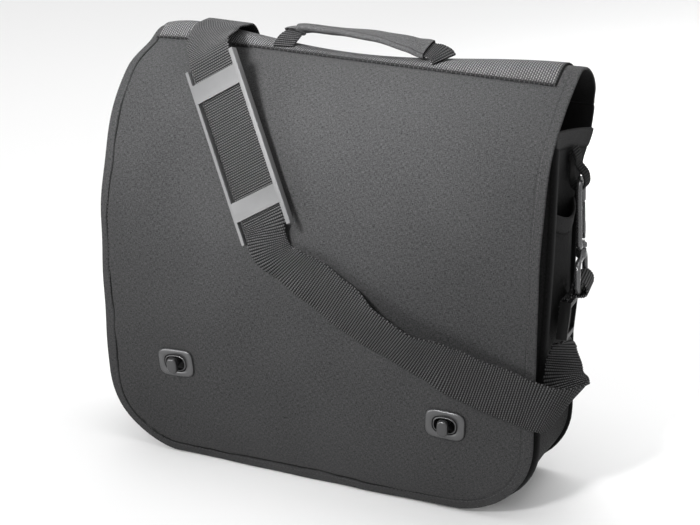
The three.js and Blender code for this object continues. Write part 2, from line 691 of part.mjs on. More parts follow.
function addHooks() {
  for (const [name, side] of [['right', 1], ['left', -1]]) {
    addNode(`tab_${name}`, webbing(tabStations(side), TAB_WIDTH, WEBBING_WALL, 3, 1), WEB);
  }
  const right = new THREE.Group();
  hookMatrix(1).decompose(right.position, right.quaternion, right.scale);
  const left = new THREE.Group();
  hookMatrix(-1).decompose(left.position, left.quaternion, left.scale);
  bag.add(right, left);
  addNode('hook_right_body', hookBody(), METAL, right);
  addNode('hook_right_gate', hookGate(), METAL, right);
  addNode('hook_right_eye', hookEye(), METAL, right);
  const closing = boxAt([3.2, 3.2, HOOK_BEND - NOSE_DROP - HOOK_BASE + 1],
    [0, HOOK_HALF, (HOOK_BEND - NOSE_DROP + HOOK_BASE) / 2]);
  const neck = new THREE.CylinderGeometry(3, 3, 4, 10).rotateX(Math.PI / 2).translate(0, 0, HOOK_BASE);
  addNode('hook_left', joined([hookBody(), closing, neck, hookEye()]), METAL, left);
}

// Shoulder strap
// Ends: each end comes up inside the eye, over its bar and down outside, then runs by the slider's
// place; out and up are in the frame of the eye or of the slider
const STRAP_END = [
  { frame: 'slider', out: -2.2, up: -12 },
  { frame: 'slider', out: -2.2, up: 0 },
  { frame: 'slider', out: -2.4, up: 13 },
  { frame: 'eye', out: -5.2, up: -2 },
  { frame: 'eye', out: -3.8, up: 6 },
  { frame: 'eye', out: 1.6, up: 8.6 },
  { frame: 'eye', out: 6.2, up: 4 },
  { frame: 'eye', out: 5.6, up: -2 },
  { frame: 'slider', out: 2.2, up: 16 },
  { frame: 'slider', out: 2.2, up: 2 },
  { frame: 'slider', out: 2.2, up: -16 },
];
const SLIDER_PLACE = { x: 182.5, y: 0, z: 152, lean: 0.25 };
// Right side: from the slider down, the turn at the bag's edge, and on to the front
const STRAP_TURN = [
  { x: 190, y: -14, z: 121, ax: 0.15, ay: 0.9, az: -0.4, spread: 1 },
  { x: 196, y: -22, z: 107, ax: 0.4, ay: 0.85, az: -0.05, spread: 1.05 },
  { x: 200, y: -32, z: 97.5, ax: 0.45, ay: 0.62, az: 0.6, spread: 1.15 },
  { x: 199, y: -44, z: 97, ax: 0.48, ay: 0.25, az: 0.84, spread: 1.12 },
  { x: 190, y: -55, z: 100, ax: 0.36, ay: 0.05, az: 0.93, spread: 1.03 },
];
// Front: places on the flap, with the lift of the webbing's middle above the cloth
const STRAP_FRONT = [
  { x: 172, z: 106, lift: 3.2 },
  { x: 140, z: 114, lift: 3.2 },
  { x: 108, z: 122, lift: 3.2 },
  { x: 78, z: 134, lift: 3.2 },
  { x: 44, z: 152, lift: 3.2 },
  { x: 8, z: 176, lift: 5 },
];
// Top and back: over the crest on the left, down the back, and a slack loop round the left edge
const STRAP_BACK = [
  { x: -112, y: 3, z: 337.5, ax: 0.92, ay: 0.3, az: 0.1, spread: 1 },
  { x: -115, y: 27, z: 338, ax: 0.97, ay: 0.12, az: -0.02, spread: 1 },
  { x: -120, y: 48, z: 333, ax: 0.99, ay: 0.05, az: -0.04, spread: 1 },
  { x: -123, y: 63.5, z: 318, ax: 0.99, ay: 0, az: -0.1, spread: 1 },
  { x: -128, y: 66, z: 285, ax: 0.99, ay: 0, az: -0.14, spread: 1 },
  { x: -138, y: 60, z: 220, ax: 0.98, ay: 0, az: -0.16, spread: 1 },
  { x: -152, y: 57, z: 150, ax: 0.97, ay: 0, az: -0.22, spread: 1 },
  { x: -168, y: 54, z: 98, ax: 0.9, ay: 0.35, az: -0.25, spread: 1 },
  { x: -182, y: 46, z: 68, ax: 0.72, ay: 0.65, az: -0.2, spread: 1 },
  { x: -194, y: 33, z: 60, ax: 0.45, ay: 0.89, az: 0, spread: 1 },
  { x: -199, y: 20, z: 72, ax: 0.2, ay: 0.97, az: 0.15, spread: 1 },
  { x: -197, y: 11, z: 106, ax: 0.1, ay: 0.99, az: 0.1, spread: 1 },
];

// Frame of the ladder piece: its middle, its run up the strap and its direction across
const FRAME_PLACE = { x: -60.2, y: -56.5, z: 267.3 };
const FRAME_RUN = vec(-0.505, 0.329, 0.798);
const FRAME_ACROSS = vec(0.855, 0.062, 0.515);

function frameMatrix() {
  const run = FRAME_RUN.clone().normalize();
  const across = FRAME_ACROSS.clone().projectOnPlane(run).normalize();
  const out = across.clone().cross(run);
  const middle = vec(FRAME_PLACE.x, FRAME_PLACE.y, FRAME_PLACE.z);
  return new THREE.Matrix4().makeBasis(across, run, out).setPosition(middle);
}

// Frame of the slider: it hangs almost upright, leaning back
function sliderMatrix(side) {
  const eye = hookMatrix(side);
  const middle = vec(side * SLIDER_PLACE.x, SLIDER_PLACE.y, SLIDER_PLACE.z);
  const up = vec(0, SLIDER_PLACE.lean, 1).normalize();
  const across = vec().setFromMatrixColumn(eye, 1).projectOnPlane(up).normalize();
  const out = across.clone().cross(up);
  return new THREE.Matrix4().makeBasis(out, across, up).setPosition(middle);
}

function endStations(side) {
  const frames = { eye: hookMatrix(side), slider: sliderMatrix(side) };
  return STRAP_END.map((row) => ({
    at: vec(row.out, 0, row.up).applyMatrix4(frames[row.frame]),
    across: vec().setFromMatrixColumn(frames[row.frame], 1).multiplyScalar(side),
  }));
}

function turnStation(row) {
  return { at: vec(row.x, row.y, row.z), across: vec(row.ax, row.ay, row.az), spread: row.spread };
}

function frontStations() {
  const places = STRAP_FRONT.map((row) => {
    const flapRow = flapRowAt(row.x, row.z);
    const out = flapNormal(row.x, flapRow);
    return { at: flapPoint(row.x, flapRow).addScaledVector(out, row.lift), out };
  });
  return places.map(({ at, out }, index) => {
    const before = places[Math.max(index - 1, 0)].at;
    const after = places[Math.min(index + 1, places.length - 1)].at;
    return { at, across: out.clone().cross(after.clone().sub(before)).negate().normalize() };
  });
}

function frameStations() {
  const matrix = frameMatrix();
  const across = vec().setFromMatrixColumn(matrix, 0);
  const under = -3.4;
  return [-0.55, -0.45, -0.3, 0, 0.3, 0.45, 0.55].map((part) => ({
    at: vec(0, part * FRAME_LENGTH, under).applyMatrix4(matrix), across: across.clone() }));
}

function addStrap() {
  const stations = [
    ...endStations(1),
    ...STRAP_TURN.map(turnStation),
    ...frontStations(),
    ...frameStations(),
    ...STRAP_BACK.map(turnStation),
    ...endStations(-1).reverse(),
  ];
  addNode('strap', webbing(stations, WEBBING, WEBBING_WALL, 3, 2), WEB);

  const barDeep = 2.2;
  const railPlace = (FRAME_WIDTH - FRAME_RAIL) / 2;
  const upperBar = FRAME_LENGTH / 2 - FRAME_INSET.upper - FRAME_BAR / 2;
  const lowerBar = FRAME_LENGTH / 2 - FRAME_INSET.lower - FRAME_BAR / 2;
  const frame = new THREE.Group();
  frameMatrix().decompose(frame.position, frame.quaternion, frame.scale);
  bag.add(frame);
  addNode('strap_frame', joined([
    boxAt([FRAME_RAIL, FRAME_LENGTH, FRAME_DEEP], [-railPlace, 0, -0.5]),
    boxAt([FRAME_RAIL, FRAME_LENGTH, FRAME_DEEP], [railPlace, 0, -0.5]),
    boxAt([FRAME_WIDTH - FRAME_RAIL, FRAME_BAR, barDeep], [0, upperBar, 0]),
    boxAt([FRAME_WIDTH - FRAME_RAIL, FRAME_BAR, barDeep], [0, -lowerBar, 0]),
  ]), PLASTIC, frame);

  const slider = new THREE.Group();
  sliderMatrix(1).decompose(slider.position, slider.quaternion, slider.scale);
  bag.add(slider);
  const sliderRail = 3;
  const railAt = WEBBING / 2 + 0.8 + sliderRail / 2;
  const strand = STRAP_END[STRAP_END.length - 1].out;
  const barOut = strand + WEBBING_WALL / 2 + 0.8 + 1;
  const endBar = SLIDER_LENGTH / 2 - 2;
  addNode('strap_slider', joined([
    boxAt([8, sliderRail, SLIDER_LENGTH], [barOut - 3, -railAt, 0]),
    boxAt([8, sliderRail, SLIDER_LENGTH], [barOut - 3, railAt, 0]),
    boxAt([2, 2 * railAt, 4], [barOut, 0, endBar]),
    boxAt([2, 2 * railAt, 4], [barOut, 0, -endBar]),
    boxAt([1.4, 2 * railAt, 5], [0, 0, 0]),
  ]), PLASTIC, slider);
}

addFlap();
addBody();
addNode('side_pocket_right', pocketGeometry(1), CLOTH);
addNode('side_pocket_left', pocketGeometry(-1), CLOTH);
addTopBand();
addHandle();
LOCKS.forEach(addLock);
addHooks();
addStrap();

export default bag;
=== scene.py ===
"""Looks of a charcoal messenger bag with a full flap, turn locks, a handle and a shoulder strap."""
import math
from collections import namedtuple

import bmesh
import bpy
import numpy as np
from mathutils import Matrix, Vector


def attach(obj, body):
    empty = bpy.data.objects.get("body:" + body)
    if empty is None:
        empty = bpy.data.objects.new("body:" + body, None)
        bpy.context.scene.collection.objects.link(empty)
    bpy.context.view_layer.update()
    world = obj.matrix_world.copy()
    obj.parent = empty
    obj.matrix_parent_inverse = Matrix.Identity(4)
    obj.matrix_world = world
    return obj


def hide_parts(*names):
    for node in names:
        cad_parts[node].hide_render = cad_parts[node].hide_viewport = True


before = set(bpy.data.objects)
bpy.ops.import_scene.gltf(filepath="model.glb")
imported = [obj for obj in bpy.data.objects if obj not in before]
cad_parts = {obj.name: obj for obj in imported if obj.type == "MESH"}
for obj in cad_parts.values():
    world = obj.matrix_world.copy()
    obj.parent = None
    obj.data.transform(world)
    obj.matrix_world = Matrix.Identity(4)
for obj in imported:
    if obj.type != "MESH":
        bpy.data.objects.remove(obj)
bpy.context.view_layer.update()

MM = 0.001
BODY = "bag"
SIDES = (("right", 1), ("left", -1))

# Sizes of the bag, in millimetres
FLAP_WIDTH = 360
FLAP_HALF = FLAP_WIDTH / 2
FLAP_CORNER = 64
FLAP_WALL = 2
FLAP_BELLY = 6
FRONT_RISE = 299
FLAP_OVER_TOP = 130
HEM_HEIGHT = 1
HEM_LIFT = 2.5
HEM = 7.2
BODY_HALF = 175.5
BODY_CORNER = 56
BODY_WALL = 1.8
SEAM_GAP = 0.6
BACK_SEAM_GAP = 0.8
SEAM_OVERHANG = 2.5
PANEL_HALF = BODY_HALF + SEAM_OVERHANG
PANEL_SEAM = 5
PANEL_HEM = 15
FRONT_TOP = 286
GUSSET_TOP = 290
GUSSET_FALL = 14
GUSSET_FLARE = 5
GUSSET_FLARE_FROM = 225
BACK_TOP = 299.2
FLAP_TO_FRONT = 6
PANEL_EASE = 80
WEBBING = 38
WEBBING_WALL = 1.6
RIB = 1.9
RIB_DEPTH = 0.55
RIB_PROUD = 0.1
SELVAGE = 0.8
BAND_HALF = 167
TAB_WIDTH = 13
GAP = 0.3
POCKET = {"top": 236, "bottom": 72, "sag": 7, "inset": 3, "off": 1.1, "stand": 13}

# Side view of the flap from hem to seam: y at both edges, height, the middle's sag, the left end's droop
FLAP_COLUMNS = ("name", "left", "right", "z", "sag", "droop")
FLAP_LINE = [dict(zip(FLAP_COLUMNS, row)) for row in (
    ("hem", -59, -51, 1, 0, 0),
    ("skirt", -64, -55, 70, 0, 0),
    ("belly", -65.5, -56, 140, 0, 0),
    ("chest", -62.5, -57, 205, 0, 0),
    ("shoulder", -48.5, -50, 260, 0, 0),
    ("brow", -29, -35.5, 293, 0, 0),
    ("edge", 9, 2, 325, 0, 3),
    ("crest", 24, 23, 335, 11, 9),
    ("rear", 43, 42, 328.5, 12, 6),
    ("back", 57.5, 57.5, 312, 4, 2),
    ("seam", 60, 60, 300, 0, 0),
)]
ROW = {row["name"]: index for index, row in enumerate(FLAP_LINE)}
DROOP_REACH = 45
DENT = {"x": -72, "z": 262, "reach_x": 62, "reach_z": 60, "depth": 7}
DRAWN_IN = {"left": 8, "from": 5.35, "to": 6, "seam": 2.5}

# Side view of the body: front and back seam, the back panel's middle, and the gusset's sink
BODY_COLUMNS = ("z", "front", "back", "back_middle", "sink")
BODY_LINE = [dict(zip(BODY_COLUMNS, row)) for row in (
    (0, -33, 43, 43, 0),
    (65, -32, 44, 49, 3),
    (105, -29, 39, 51, 8),
    (150, -24, 34, 52, 12),
    (200, -20, 33, 53, 12),
    (262, -19, 39, 55, 4),
    (284, -19, 56, 58, 3),
    (300, -19, 60, 60, 3),
)]

# Unevenness of cloth and webbing: height, length and seed of its waves
FLAP_BROAD_WAVE = (0.5, 150, 1)
FLAP_SHORT_WAVE = (0.36, 52, 8)
FLAP_HEM_WAVE = (0.8, 46, 4)
HEM_SLOW_WANDER = (1.7, 150, 6)
HEM_QUICK_WANDER = (0.35, 26, 2)
HEM_FADING = (0.3, 37, 2)
PANEL_WAVE = (0.5, 120, 7)
GUSSET_WAVE = (0.5, 60, 3)
STRAP_WAVE = (1, 30, 3)
SLEEVE_WAVE = (0.035, 26, 5)
# Waves that are added up: how many, and how their turns, lengths and starts differ
WAVE_COUNT = 5
GOLDEN_ANGLE = 2.399
WAVE_SCATTER = {"turn": 1.7, "stretch": 0.37, "start": 2.1, "start_step": 1.3}

# Turn locks: side, place on the flap and roll in degrees, and the oval slot that the knob passes
LOCKS = (("left", -115, 84, 4), ("right", 113, 75, -2))
LOCK_SLOT = {"width": 16.5, "height": 11.5, "square": 2.6, "ease": 0.4}
LOCK_HOLE_ENDS = (-6, 4)


# Curves and tables
def ease(part):
    part = np.clip(part, 0, 1)
    return part * part * (3 - 2 * part)


def mix(a, b, part):
    return a + (b - a) * part


def up_to(distance, place, fade):
    """1 from an edge up to a place, fading to 0 just before it."""
    return 1 - ease((distance - place + fade) / fade)


def arch(part):
    """1 in the middle of a part from 0 to 1, falling to 0 at both its ends."""
    return 4 * part * (1 - part)


def line_at(distance, place, half):
    """1 on a line at a distance, and falling off on both sides of it."""
    return np.exp(-((distance - place) / half) ** 2)


def unit(vectors):
    return vectors / np.maximum(np.linalg.norm(vectors, axis=-1, keepdims=True), 1e-12)


def run_along(points):
    """Distance along a line of points."""
    return np.concatenate([[0], np.cumsum(np.linalg.norm(np.diff(points, axis=0), axis=1))])


def turns(sides):
    return np.arange(sides) / sides * 2 * math.pi


def through(rows, place):
    """Points on a smooth curve through rows of points, at places counted in rows."""
    rows = np.asarray(rows, float)
    place = np.asarray(place, float)
    if rows.ndim == 2:
        rows = np.broadcast_to(rows, (len(place),) + rows.shape)
    before = 2 * rows[:, :1] - rows[:, 1:2]
    after = 2 * rows[:, -1:] - rows[:, -2:-1]
    longer = np.concatenate([before, rows, after], axis=1)
    index = np.clip(np.floor(place).astype(int), 0, rows.shape[1] - 2)
    part = (place - index)[:, None]
    line = np.arange(len(place))
    p0, p1, p2, p3 = (longer[line, index + k] for k in range(4))

    def span(a, b):
        """Root of a distance, with which the curve doesn't loop or overshoot."""
        return np.maximum(np.sum((b - a) ** 2, axis=1, keepdims=True) ** 0.25, 1e-4)

    d0, d1, d2 = span(p0, p1), span(p1, p2), span(p2, p3)
    slope1 = ((p1 - p0) / d0 - (p2 - p0) / (d0 + d1) + (p2 - p1) / d1) * d1
    slope2 = ((p2 - p1) / d1 - (p3 - p1) / (d1 + d2) + (p3 - p2) / d2) * d1
    c2 = -3 * p1 + 3 * p2 - 2 * slope1 - slope2
    c3 = 2 * p1 - 2 * p2 + slope1 + slope2
    return p1 + part * (slope1 + part * (c2 + part * c3))


def between(values, place):
    """Values at places counted in stations, eased from each station to the next."""
    values = np.asarray(values, float)
    index = np.minimum(np.floor(place).astype(int), len(values) - 2)
    return mix(values[index].T, values[index + 1].T, ease(place - index)).T


def height_curve(column):
    """Smooth value of one column of the body's table at a height."""
    heights = np.array([row["z"] for row in BODY_LINE], float)
    values = np.array([row[column] for row in BODY_LINE], float)
    slopes = np.gradient(values, heights)
    steps = np.diff(values)
    flat = np.concatenate([[True], steps[1:] * steps[:-1] <= 0, [True]])
    slopes[flat] = 0

    def value(z):
        z = np.clip(z, heights[0], heights[-1])
        index = np.clip(np.searchsorted(heights, z, side="right") - 1, 0, len(heights) - 2)
        step = heights[index + 1] - heights[index]
        t = (z - heights[index]) / step
        rise = values[index + 1] - values[index]
        first, last = slopes[index] * step, slopes[index + 1] * step
        return values[index] + t * (first + t * (3 * rise - 2 * first - last + t * (first + last - 2 * rise)))

    return value


def waves(x, y, wave):
    """Soft unevenness over a surface, from a few waves that cross; it is the same at each run."""
    height, length, seed = wave
    total = 0
    for k in range(WAVE_COUNT):
        turn = seed * WAVE_SCATTER["turn"] + k * GOLDEN_ANGLE
        stretch = 1 + WAVE_SCATTER["stretch"] * ((k * 7 + seed * 3) % WAVE_COUNT) / WAVE_COUNT
        across = (x * math.cos(turn) + y * math.sin(turn)) * 2 * math.pi / (length * stretch)
        total = total + np.sin(across + seed * WAVE_SCATTER["start"] + k * WAVE_SCATTER["start_step"])
    return height * total / 3


# Cuts of cloth with straight sides, a straight bottom and two round corners
def edge_distance(x, rise, half, corner):
    """How far a point of a cut is from its edge."""
    over = np.abs(x) - (half - corner)
    under = corner - rise
    rounded = corner - np.hypot(np.maximum(over, 0), np.maximum(under, 0))
    return np.where((over > 0) & (under > 0), rounded, np.minimum(half - np.abs(x), rise))


def half_width(rise, half, corner):
    """Half the width of a cut at a rise above its bottom."""
    return half - corner + np.sqrt(np.maximum(corner ** 2 - np.maximum(corner - rise, 0) ** 2, 0))


def corner_rise(x, half, corner):
    """How high the edge of a cut lies above its bottom."""
    beyond = np.maximum(np.abs(x) - (half - corner), 0)
    return corner - np.sqrt(np.maximum(corner * corner - beyond * beyond, 0))


def from_both_ends(half, fine, fine_count, coarse):
    """Places from -half to half, close together near both ends."""
    edge = np.arange(fine_count) * fine
    inner = np.linspace(edge[-1] + fine, half, max(int((half - edge[-1]) / coarse), 2))
    side = np.concatenate([edge, inner]) - half
    return np.concatenate([side, -side[-2::-1]])


def in_stretches(rows):
    """Places in stretches, each given by its start, its end and how many it has."""
    return np.concatenate([np.linspace(*row) for row in rows])


# Surface of the flap
def dent_at(x, z):
    away = ((x - DENT["x"]) / DENT["reach_x"]) ** 2 + ((z - DENT["z"]) / DENT["reach_z"]) ** 2
    return DENT["depth"] * np.exp(-away)


def flap_table(x):
    """The flap's side view at each x, as rows of points."""
    across = (x + FLAP_HALF) / FLAP_WIDTH
    swell = np.sin(np.pi * np.clip(across, 0, 1))
    left_end = np.clip(1 - (x + FLAP_HALF) / DROOP_REACH, 0, 1) ** 2
    points = np.zeros((len(x), len(FLAP_LINE), 3))
    for index, row in enumerate(FLAP_LINE):
        full = FLAP_BELLY * swell * math.sin(math.pi * min(row["z"] / FLAP_LINE[ROW["edge"]]["z"], 1))
        forward = full - dent_at(x, row["z"]) if index <= ROW["edge"] else 0
        points[:, index, 0] = x
        points[:, index, 1] = mix(row["left"], row["right"], across) - forward
        points[:, index, 2] = row["z"] - row["sag"] * swell ** 2 - row["droop"] * left_end
    return points


def flap_at(x, row):
    x, row = np.broadcast_arrays(np.asarray(x, float), np.asarray(row, float))
    return through(flap_table(x.ravel()), row.ravel()).reshape(x.shape + (3,))


def flap_normal(x, row):
    aside, step = 2, 0.05
    along = flap_at(np.asarray(x) + aside, row) - flap_at(np.asarray(x) - aside, row)
    up = flap_at(x, np.minimum(row + step, ROW["seam"])) - flap_at(x, np.maximum(row - step, 0))
    return unit(np.cross(along, up))


def flap_row_at(x, z):
    """Row of the flap's front at a height."""
    x, z = np.broadcast_arrays(np.asarray(x, float), np.asarray(z, float))
    table = flap_table(x.ravel())
    goal = z.ravel()
    low = np.zeros(len(goal))
    high = np.full(len(goal), float(ROW["crest"]))
    for _ in range(24):
        middle = (low + high) / 2
        below = through(table, middle)[:, 2] < goal
        low = np.where(below, middle, low)
        high = np.where(below, high, middle)
    return low.reshape(x.shape)


# Meshes
RIM_ROUNDING = 0.8
WIRE_TIP = {"length": 0.5, "radius": 0.55}
SHARP_ANGLE = 50


def new_object(name, vertices, faces, smooth=True, closed=True):
    """Object from points in millimetres; the faces of a closed one look outwards."""
    mesh = bpy.data.meshes.new(name)
    mesh.from_pydata((np.asarray(vertices) * MM).tolist(), [], [list(map(int, face)) for face in faces])
    mesh.validate()
    piece = bpy.data.objects.new(name, mesh)
    bpy.context.scene.collection.objects.link(piece)
    if smooth:
        mesh.shade_smooth()
    if closed:
        sides = bmesh.new()
        sides.from_mesh(mesh)
        bmesh.ops.recalc_face_normals(sides, faces=sides.faces)
        sides.to_mesh(mesh)
        sides.free()
    return piece


def paint_values(piece, name, values):
    """Stores a number or a vector for each vertex, for the materials to read."""
    values = np.asarray(values, np.float32)
    kind = "FLOAT" if values.ndim == 1 else "FLOAT_VECTOR"
    attribute = piece.data.attributes.new(name, kind, "POINT")
    attribute.data.foreach_set("value" if values.ndim == 1 else "vector", values.ravel())


def grid_normals(grid):
    along = np.gradient(grid, axis=0)
    up = np.gradient(grid, axis=1)
    return unit(np.cross(along, up))


def weave_places(along, across):
    """Places on flat cloth for the weaves, from distances along it and across it."""
    along, across = np.broadcast_arrays(along, across)
    return np.stack([along, across, np.zeros(along.shape)], -1)


def grid_places(grid):
    """Distances along both directions of a grid, for weaves."""
    def lengths(axis):
        steps = np.linalg.norm(np.diff(grid, axis=axis), axis=2).mean(axis=1 - axis)
        return np.concatenate([[0], np.cumsum(steps)])

    return weave_places(lengths(0)[:, None], lengths(1))


def wall_mesh(name, grid, outer, inner, marks=None, places=None):
    """Closed wall of cloth along a grid, between two lifts, with a rounded rim."""
    shape = grid.shape[:2]
    normals = grid_normals(grid)
    middle = grid.reshape(-1, 3)
    face, back = [(grid + normals * np.broadcast_to(lift, shape)[..., None]).reshape(-1, 3)
                  for lift in (outer, inner)]
    count = len(middle)
    number = np.arange(count).reshape(shape)
    quads = np.stack([number[:-1, :-1], number[1:, :-1], number[1:, 1:], number[:-1, 1:]], -1).reshape(-1, 4)
    rim = np.concatenate([number[:, 0], number[-1, 1:], number[-2::-1, -1], number[0, -2:0:-1]])
    deeper = np.concatenate([number[:, 1], number[-2, 1:], number[-2::-1, -2], number[1, -2:0:-1]])
    out = unit(middle[rim] - middle[deeper])
    half = np.linalg.norm(face[rim] - back[rim], axis=1)[:, None] / 2
    edge = (face[rim] + back[rim]) / 2 + out * half * RIM_ROUNDING
    ring = np.arange(len(rim)) + 2 * count
    after = np.roll(np.arange(len(rim)), -1)
    rim_faces = np.concatenate([
        np.stack([rim[after], rim, ring, ring[after]], -1),
        np.stack([ring[after], ring, rim + count, rim[after] + count], -1),
    ])
    faces = np.concatenate([quads, quads[:, ::-1] + count, rim_faces])
    piece = new_object(name, np.concatenate([face, back, edge]), faces)
    flat = (grid_places(grid) if places is None else places).reshape(-1, 3)
    paint_values(piece, "weave", np.concatenate([flat, flat, flat[rim]]))
    for mark, values in (marks or {}).items():
        values = np.broadcast_to(values, shape).reshape(-1)
        paint_values(piece, mark, np.concatenate([values, values, values[rim]]))
    paint_values(piece, "inside", np.concatenate([np.zeros(count), np.ones(count), np.zeros(len(rim))]))
    return piece


def ring_faces(count, sides, closed):
    """Faces between rings of points; closed joins the last ring to the first, else both are capped."""
    number = np.arange(count * sides).reshape(count, sides)
    faces = []
    for i in range(count if closed else count - 1):
        first, second = number[i], number[(i + 1) % count]
        faces += np.stack([first, second, np.roll(second, -1), np.roll(first, -1)], -1).tolist()
    if not closed:
        faces += [number[0].tolist(), number[-1][::-1].tolist()]
    return faces


def ring_mesh(name, rings, closed, smooth=True):
    count, sides = rings.shape[:2]
    return new_object(name, rings.reshape(-1, 3), ring_faces(count, sides, closed), smooth)


def round_rings(centres, first, second, radius, sides):
    """Circles round centres, each in the plane of two directions."""
    angle = turns(sides)[:, None]
    radius = np.broadcast_to(radius, len(centres))[:, None, None]
    return centres[:, None] + radius * (first[:, None] * np.cos(angle) + second[:, None] * np.sin(angle))


def oval(half_x, half_y, square, height, sides=64):
    """Ring of points with rounded corners; a square of 2 is an ellipse, and a higher one is boxier."""
    c, s = np.cos(turns(sides)), np.sin(turns(sides))
    x = half_x * np.sign(c) * np.abs(c) ** (2 / square)
    y = half_y * np.sign(s) * np.abs(s) ** (2 / square)
    return np.stack([x, y, np.full(sides, height)], -1)


def placed(matrix, points):
    """Points moved from a piece's own frame to the bag's frame."""
    return np.asarray(points, float) @ matrix[:3, :3].T + matrix[:3, 3]


def basis(x, y, z, origin):
    matrix = np.eye(4)
    matrix[:3, 0], matrix[:3, 1], matrix[:3, 2], matrix[:3, 3] = x, y, z, origin
    return matrix


def square_to(vector, normal):
    return unit(vector - np.dot(vector, normal) * normal)


def bake(piece):
    """Applies a piece's modifiers."""
    bpy.context.view_layer.update()
    baked = bpy.data.meshes.new_from_object(piece.evaluated_get(bpy.context.evaluated_depsgraph_get()))
    piece.modifiers.clear()
    piece.data = baked


def combined(piece, other, operation):
    """Joins another solid to a piece, or cuts it out of it."""
    step = piece.modifiers.new("combined", "BOOLEAN")
    step.operation = operation
    step.solver = "EXACT"
    step.object = other
    bake(piece)
    bpy.data.objects.remove(other)
    return piece


def united(name, pieces):
    """One solid from several that overlap."""
    first = pieces[0]
    for other in pieces[1:]:
        combined(first, other, "UNION")
    first.name = name
    return first


def soften(piece, width, segments=3, angle=35):
    """Rounds a hard piece's edges."""
    rounding = piece.modifiers.new("rounding", "BEVEL")
    rounding.width = width * MM
    rounding.segments = segments
    rounding.limit_method = "ANGLE"
    rounding.angle_limit = math.radians(angle)
    rounding.harden_normals = False
    bake(piece)
    piece.data.shade_smooth()
    piece.data.set_sharp_from_angle(angle=math.radians(SHARP_ANGLE))
    return piece


def wire(name, points, radius, closed, matrix, sides=18):
    """Round wire along points in a piece's own plane, across its X."""
    before = np.roll(points, 1, axis=0)
    after = np.roll(points, -1, axis=0)
    if not closed:
        before[0], after[-1] = points[0], points[-1]
    flat = np.broadcast_to(np.array([1.0, 0, 0]), points.shape)
    aside = unit(np.cross(unit(after - before), flat))
    rings = round_rings(points, flat, aside, radius, sides)
    if not closed:
        tips = []
        for end, inner in ((0, 1), (-1, -2)):
            step = unit(points[end] - points[inner]) * radius * WIRE_TIP["length"]
            tips.append(points[end] + step + (rings[end] - points[end]) * WIRE_TIP["radius"])
        rings = np.concatenate([tips[:1], rings, tips[1:]])
    return ring_mesh(name, placed(matrix, rings), closed)


def barrel(name, radii, heights, matrix, sides=24):
    """Turned piece round its own Z, from radii and heights."""
    rings = [oval(radius, radius, 2, height, sides) for radius, height in zip(radii, heights)]
    return ring_mesh(name, placed(matrix, rings), False)


def block(name, size, centre, matrix):
    corners = np.array([(x, y, z) for x in (-1, 1) for y in (-1, 1) for z in (-1, 1)])
    corners = corners * np.array(size) / 2 + np.array(centre)
    faces = ((0, 1, 3, 2), (4, 6, 7, 5), (0, 4, 5, 1), (2, 3, 7, 6), (0, 2, 6, 4), (1, 5, 7, 3))
    return new_object(name, placed(matrix, corners), faces, smooth=False)


def prism(name, outline, depth, matrix):
    """Flat piece from an outline of y and z, as deep as given along its X."""
    rings = np.array([np.column_stack([np.full(len(outline), x), outline]) for x in (-depth / 2, depth / 2)])
    return ring_mesh(name, placed(matrix, rings), False, smooth=False)


# Stitches: places along one as shares of its length, with its thickness and lift as shares of its radius
STITCH = {"pitch": 3.2, "length": 2.3, "sides": 6}
STITCH_RINGS = ((0, 0.35, -0.5), (0.12, 0.9, 0.1), (0.5, 1, 0.4), (0.88, 0.9, 0.1), (1, 0.35, -0.5))


def stitches(name, points, normals, lift, radius=0.28):
    """Row of thread stitches along a line on a surface, each one a small rounded bar."""
    run = run_along(points)
    share, thick, sink = np.array(STITCH_RINGS).T
    starts = np.arange(STITCH["pitch"] / 2, run[-1] - STITCH["pitch"] / 2, STITCH["pitch"])
    one = ring_faces(len(share), STITCH["sides"], False)

    def at(place, table):
        return np.stack([np.interp(place, run, table[:, k]) for k in range(3)], -1)

    vertices, faces = [], []
    for start in starts:
        place = start + (share - 0.5) * STITCH["length"]
        centre = at(place, points)
        out = unit(at(place, normals))
        along = unit(np.broadcast_to(centre[-1] - centre[0], centre.shape))
        centre = centre + out * (lift + sink * radius)[:, None]
        rings = round_rings(centre, unit(np.cross(along, out)), out, radius * thick, STITCH["sides"])
        base = len(vertices) * len(share) * STITCH["sides"]
        vertices.append(rings.reshape(-1, 3))
        faces += [[base + corner for corner in face] for face in one]
    return new_object(name, np.concatenate(vertices), faces)


# Node groups shared by the materials
FLOAT, VECTOR = "NodeSocketFloat", "NodeSocketVector"
NOISE_MIDDLE = 0.5


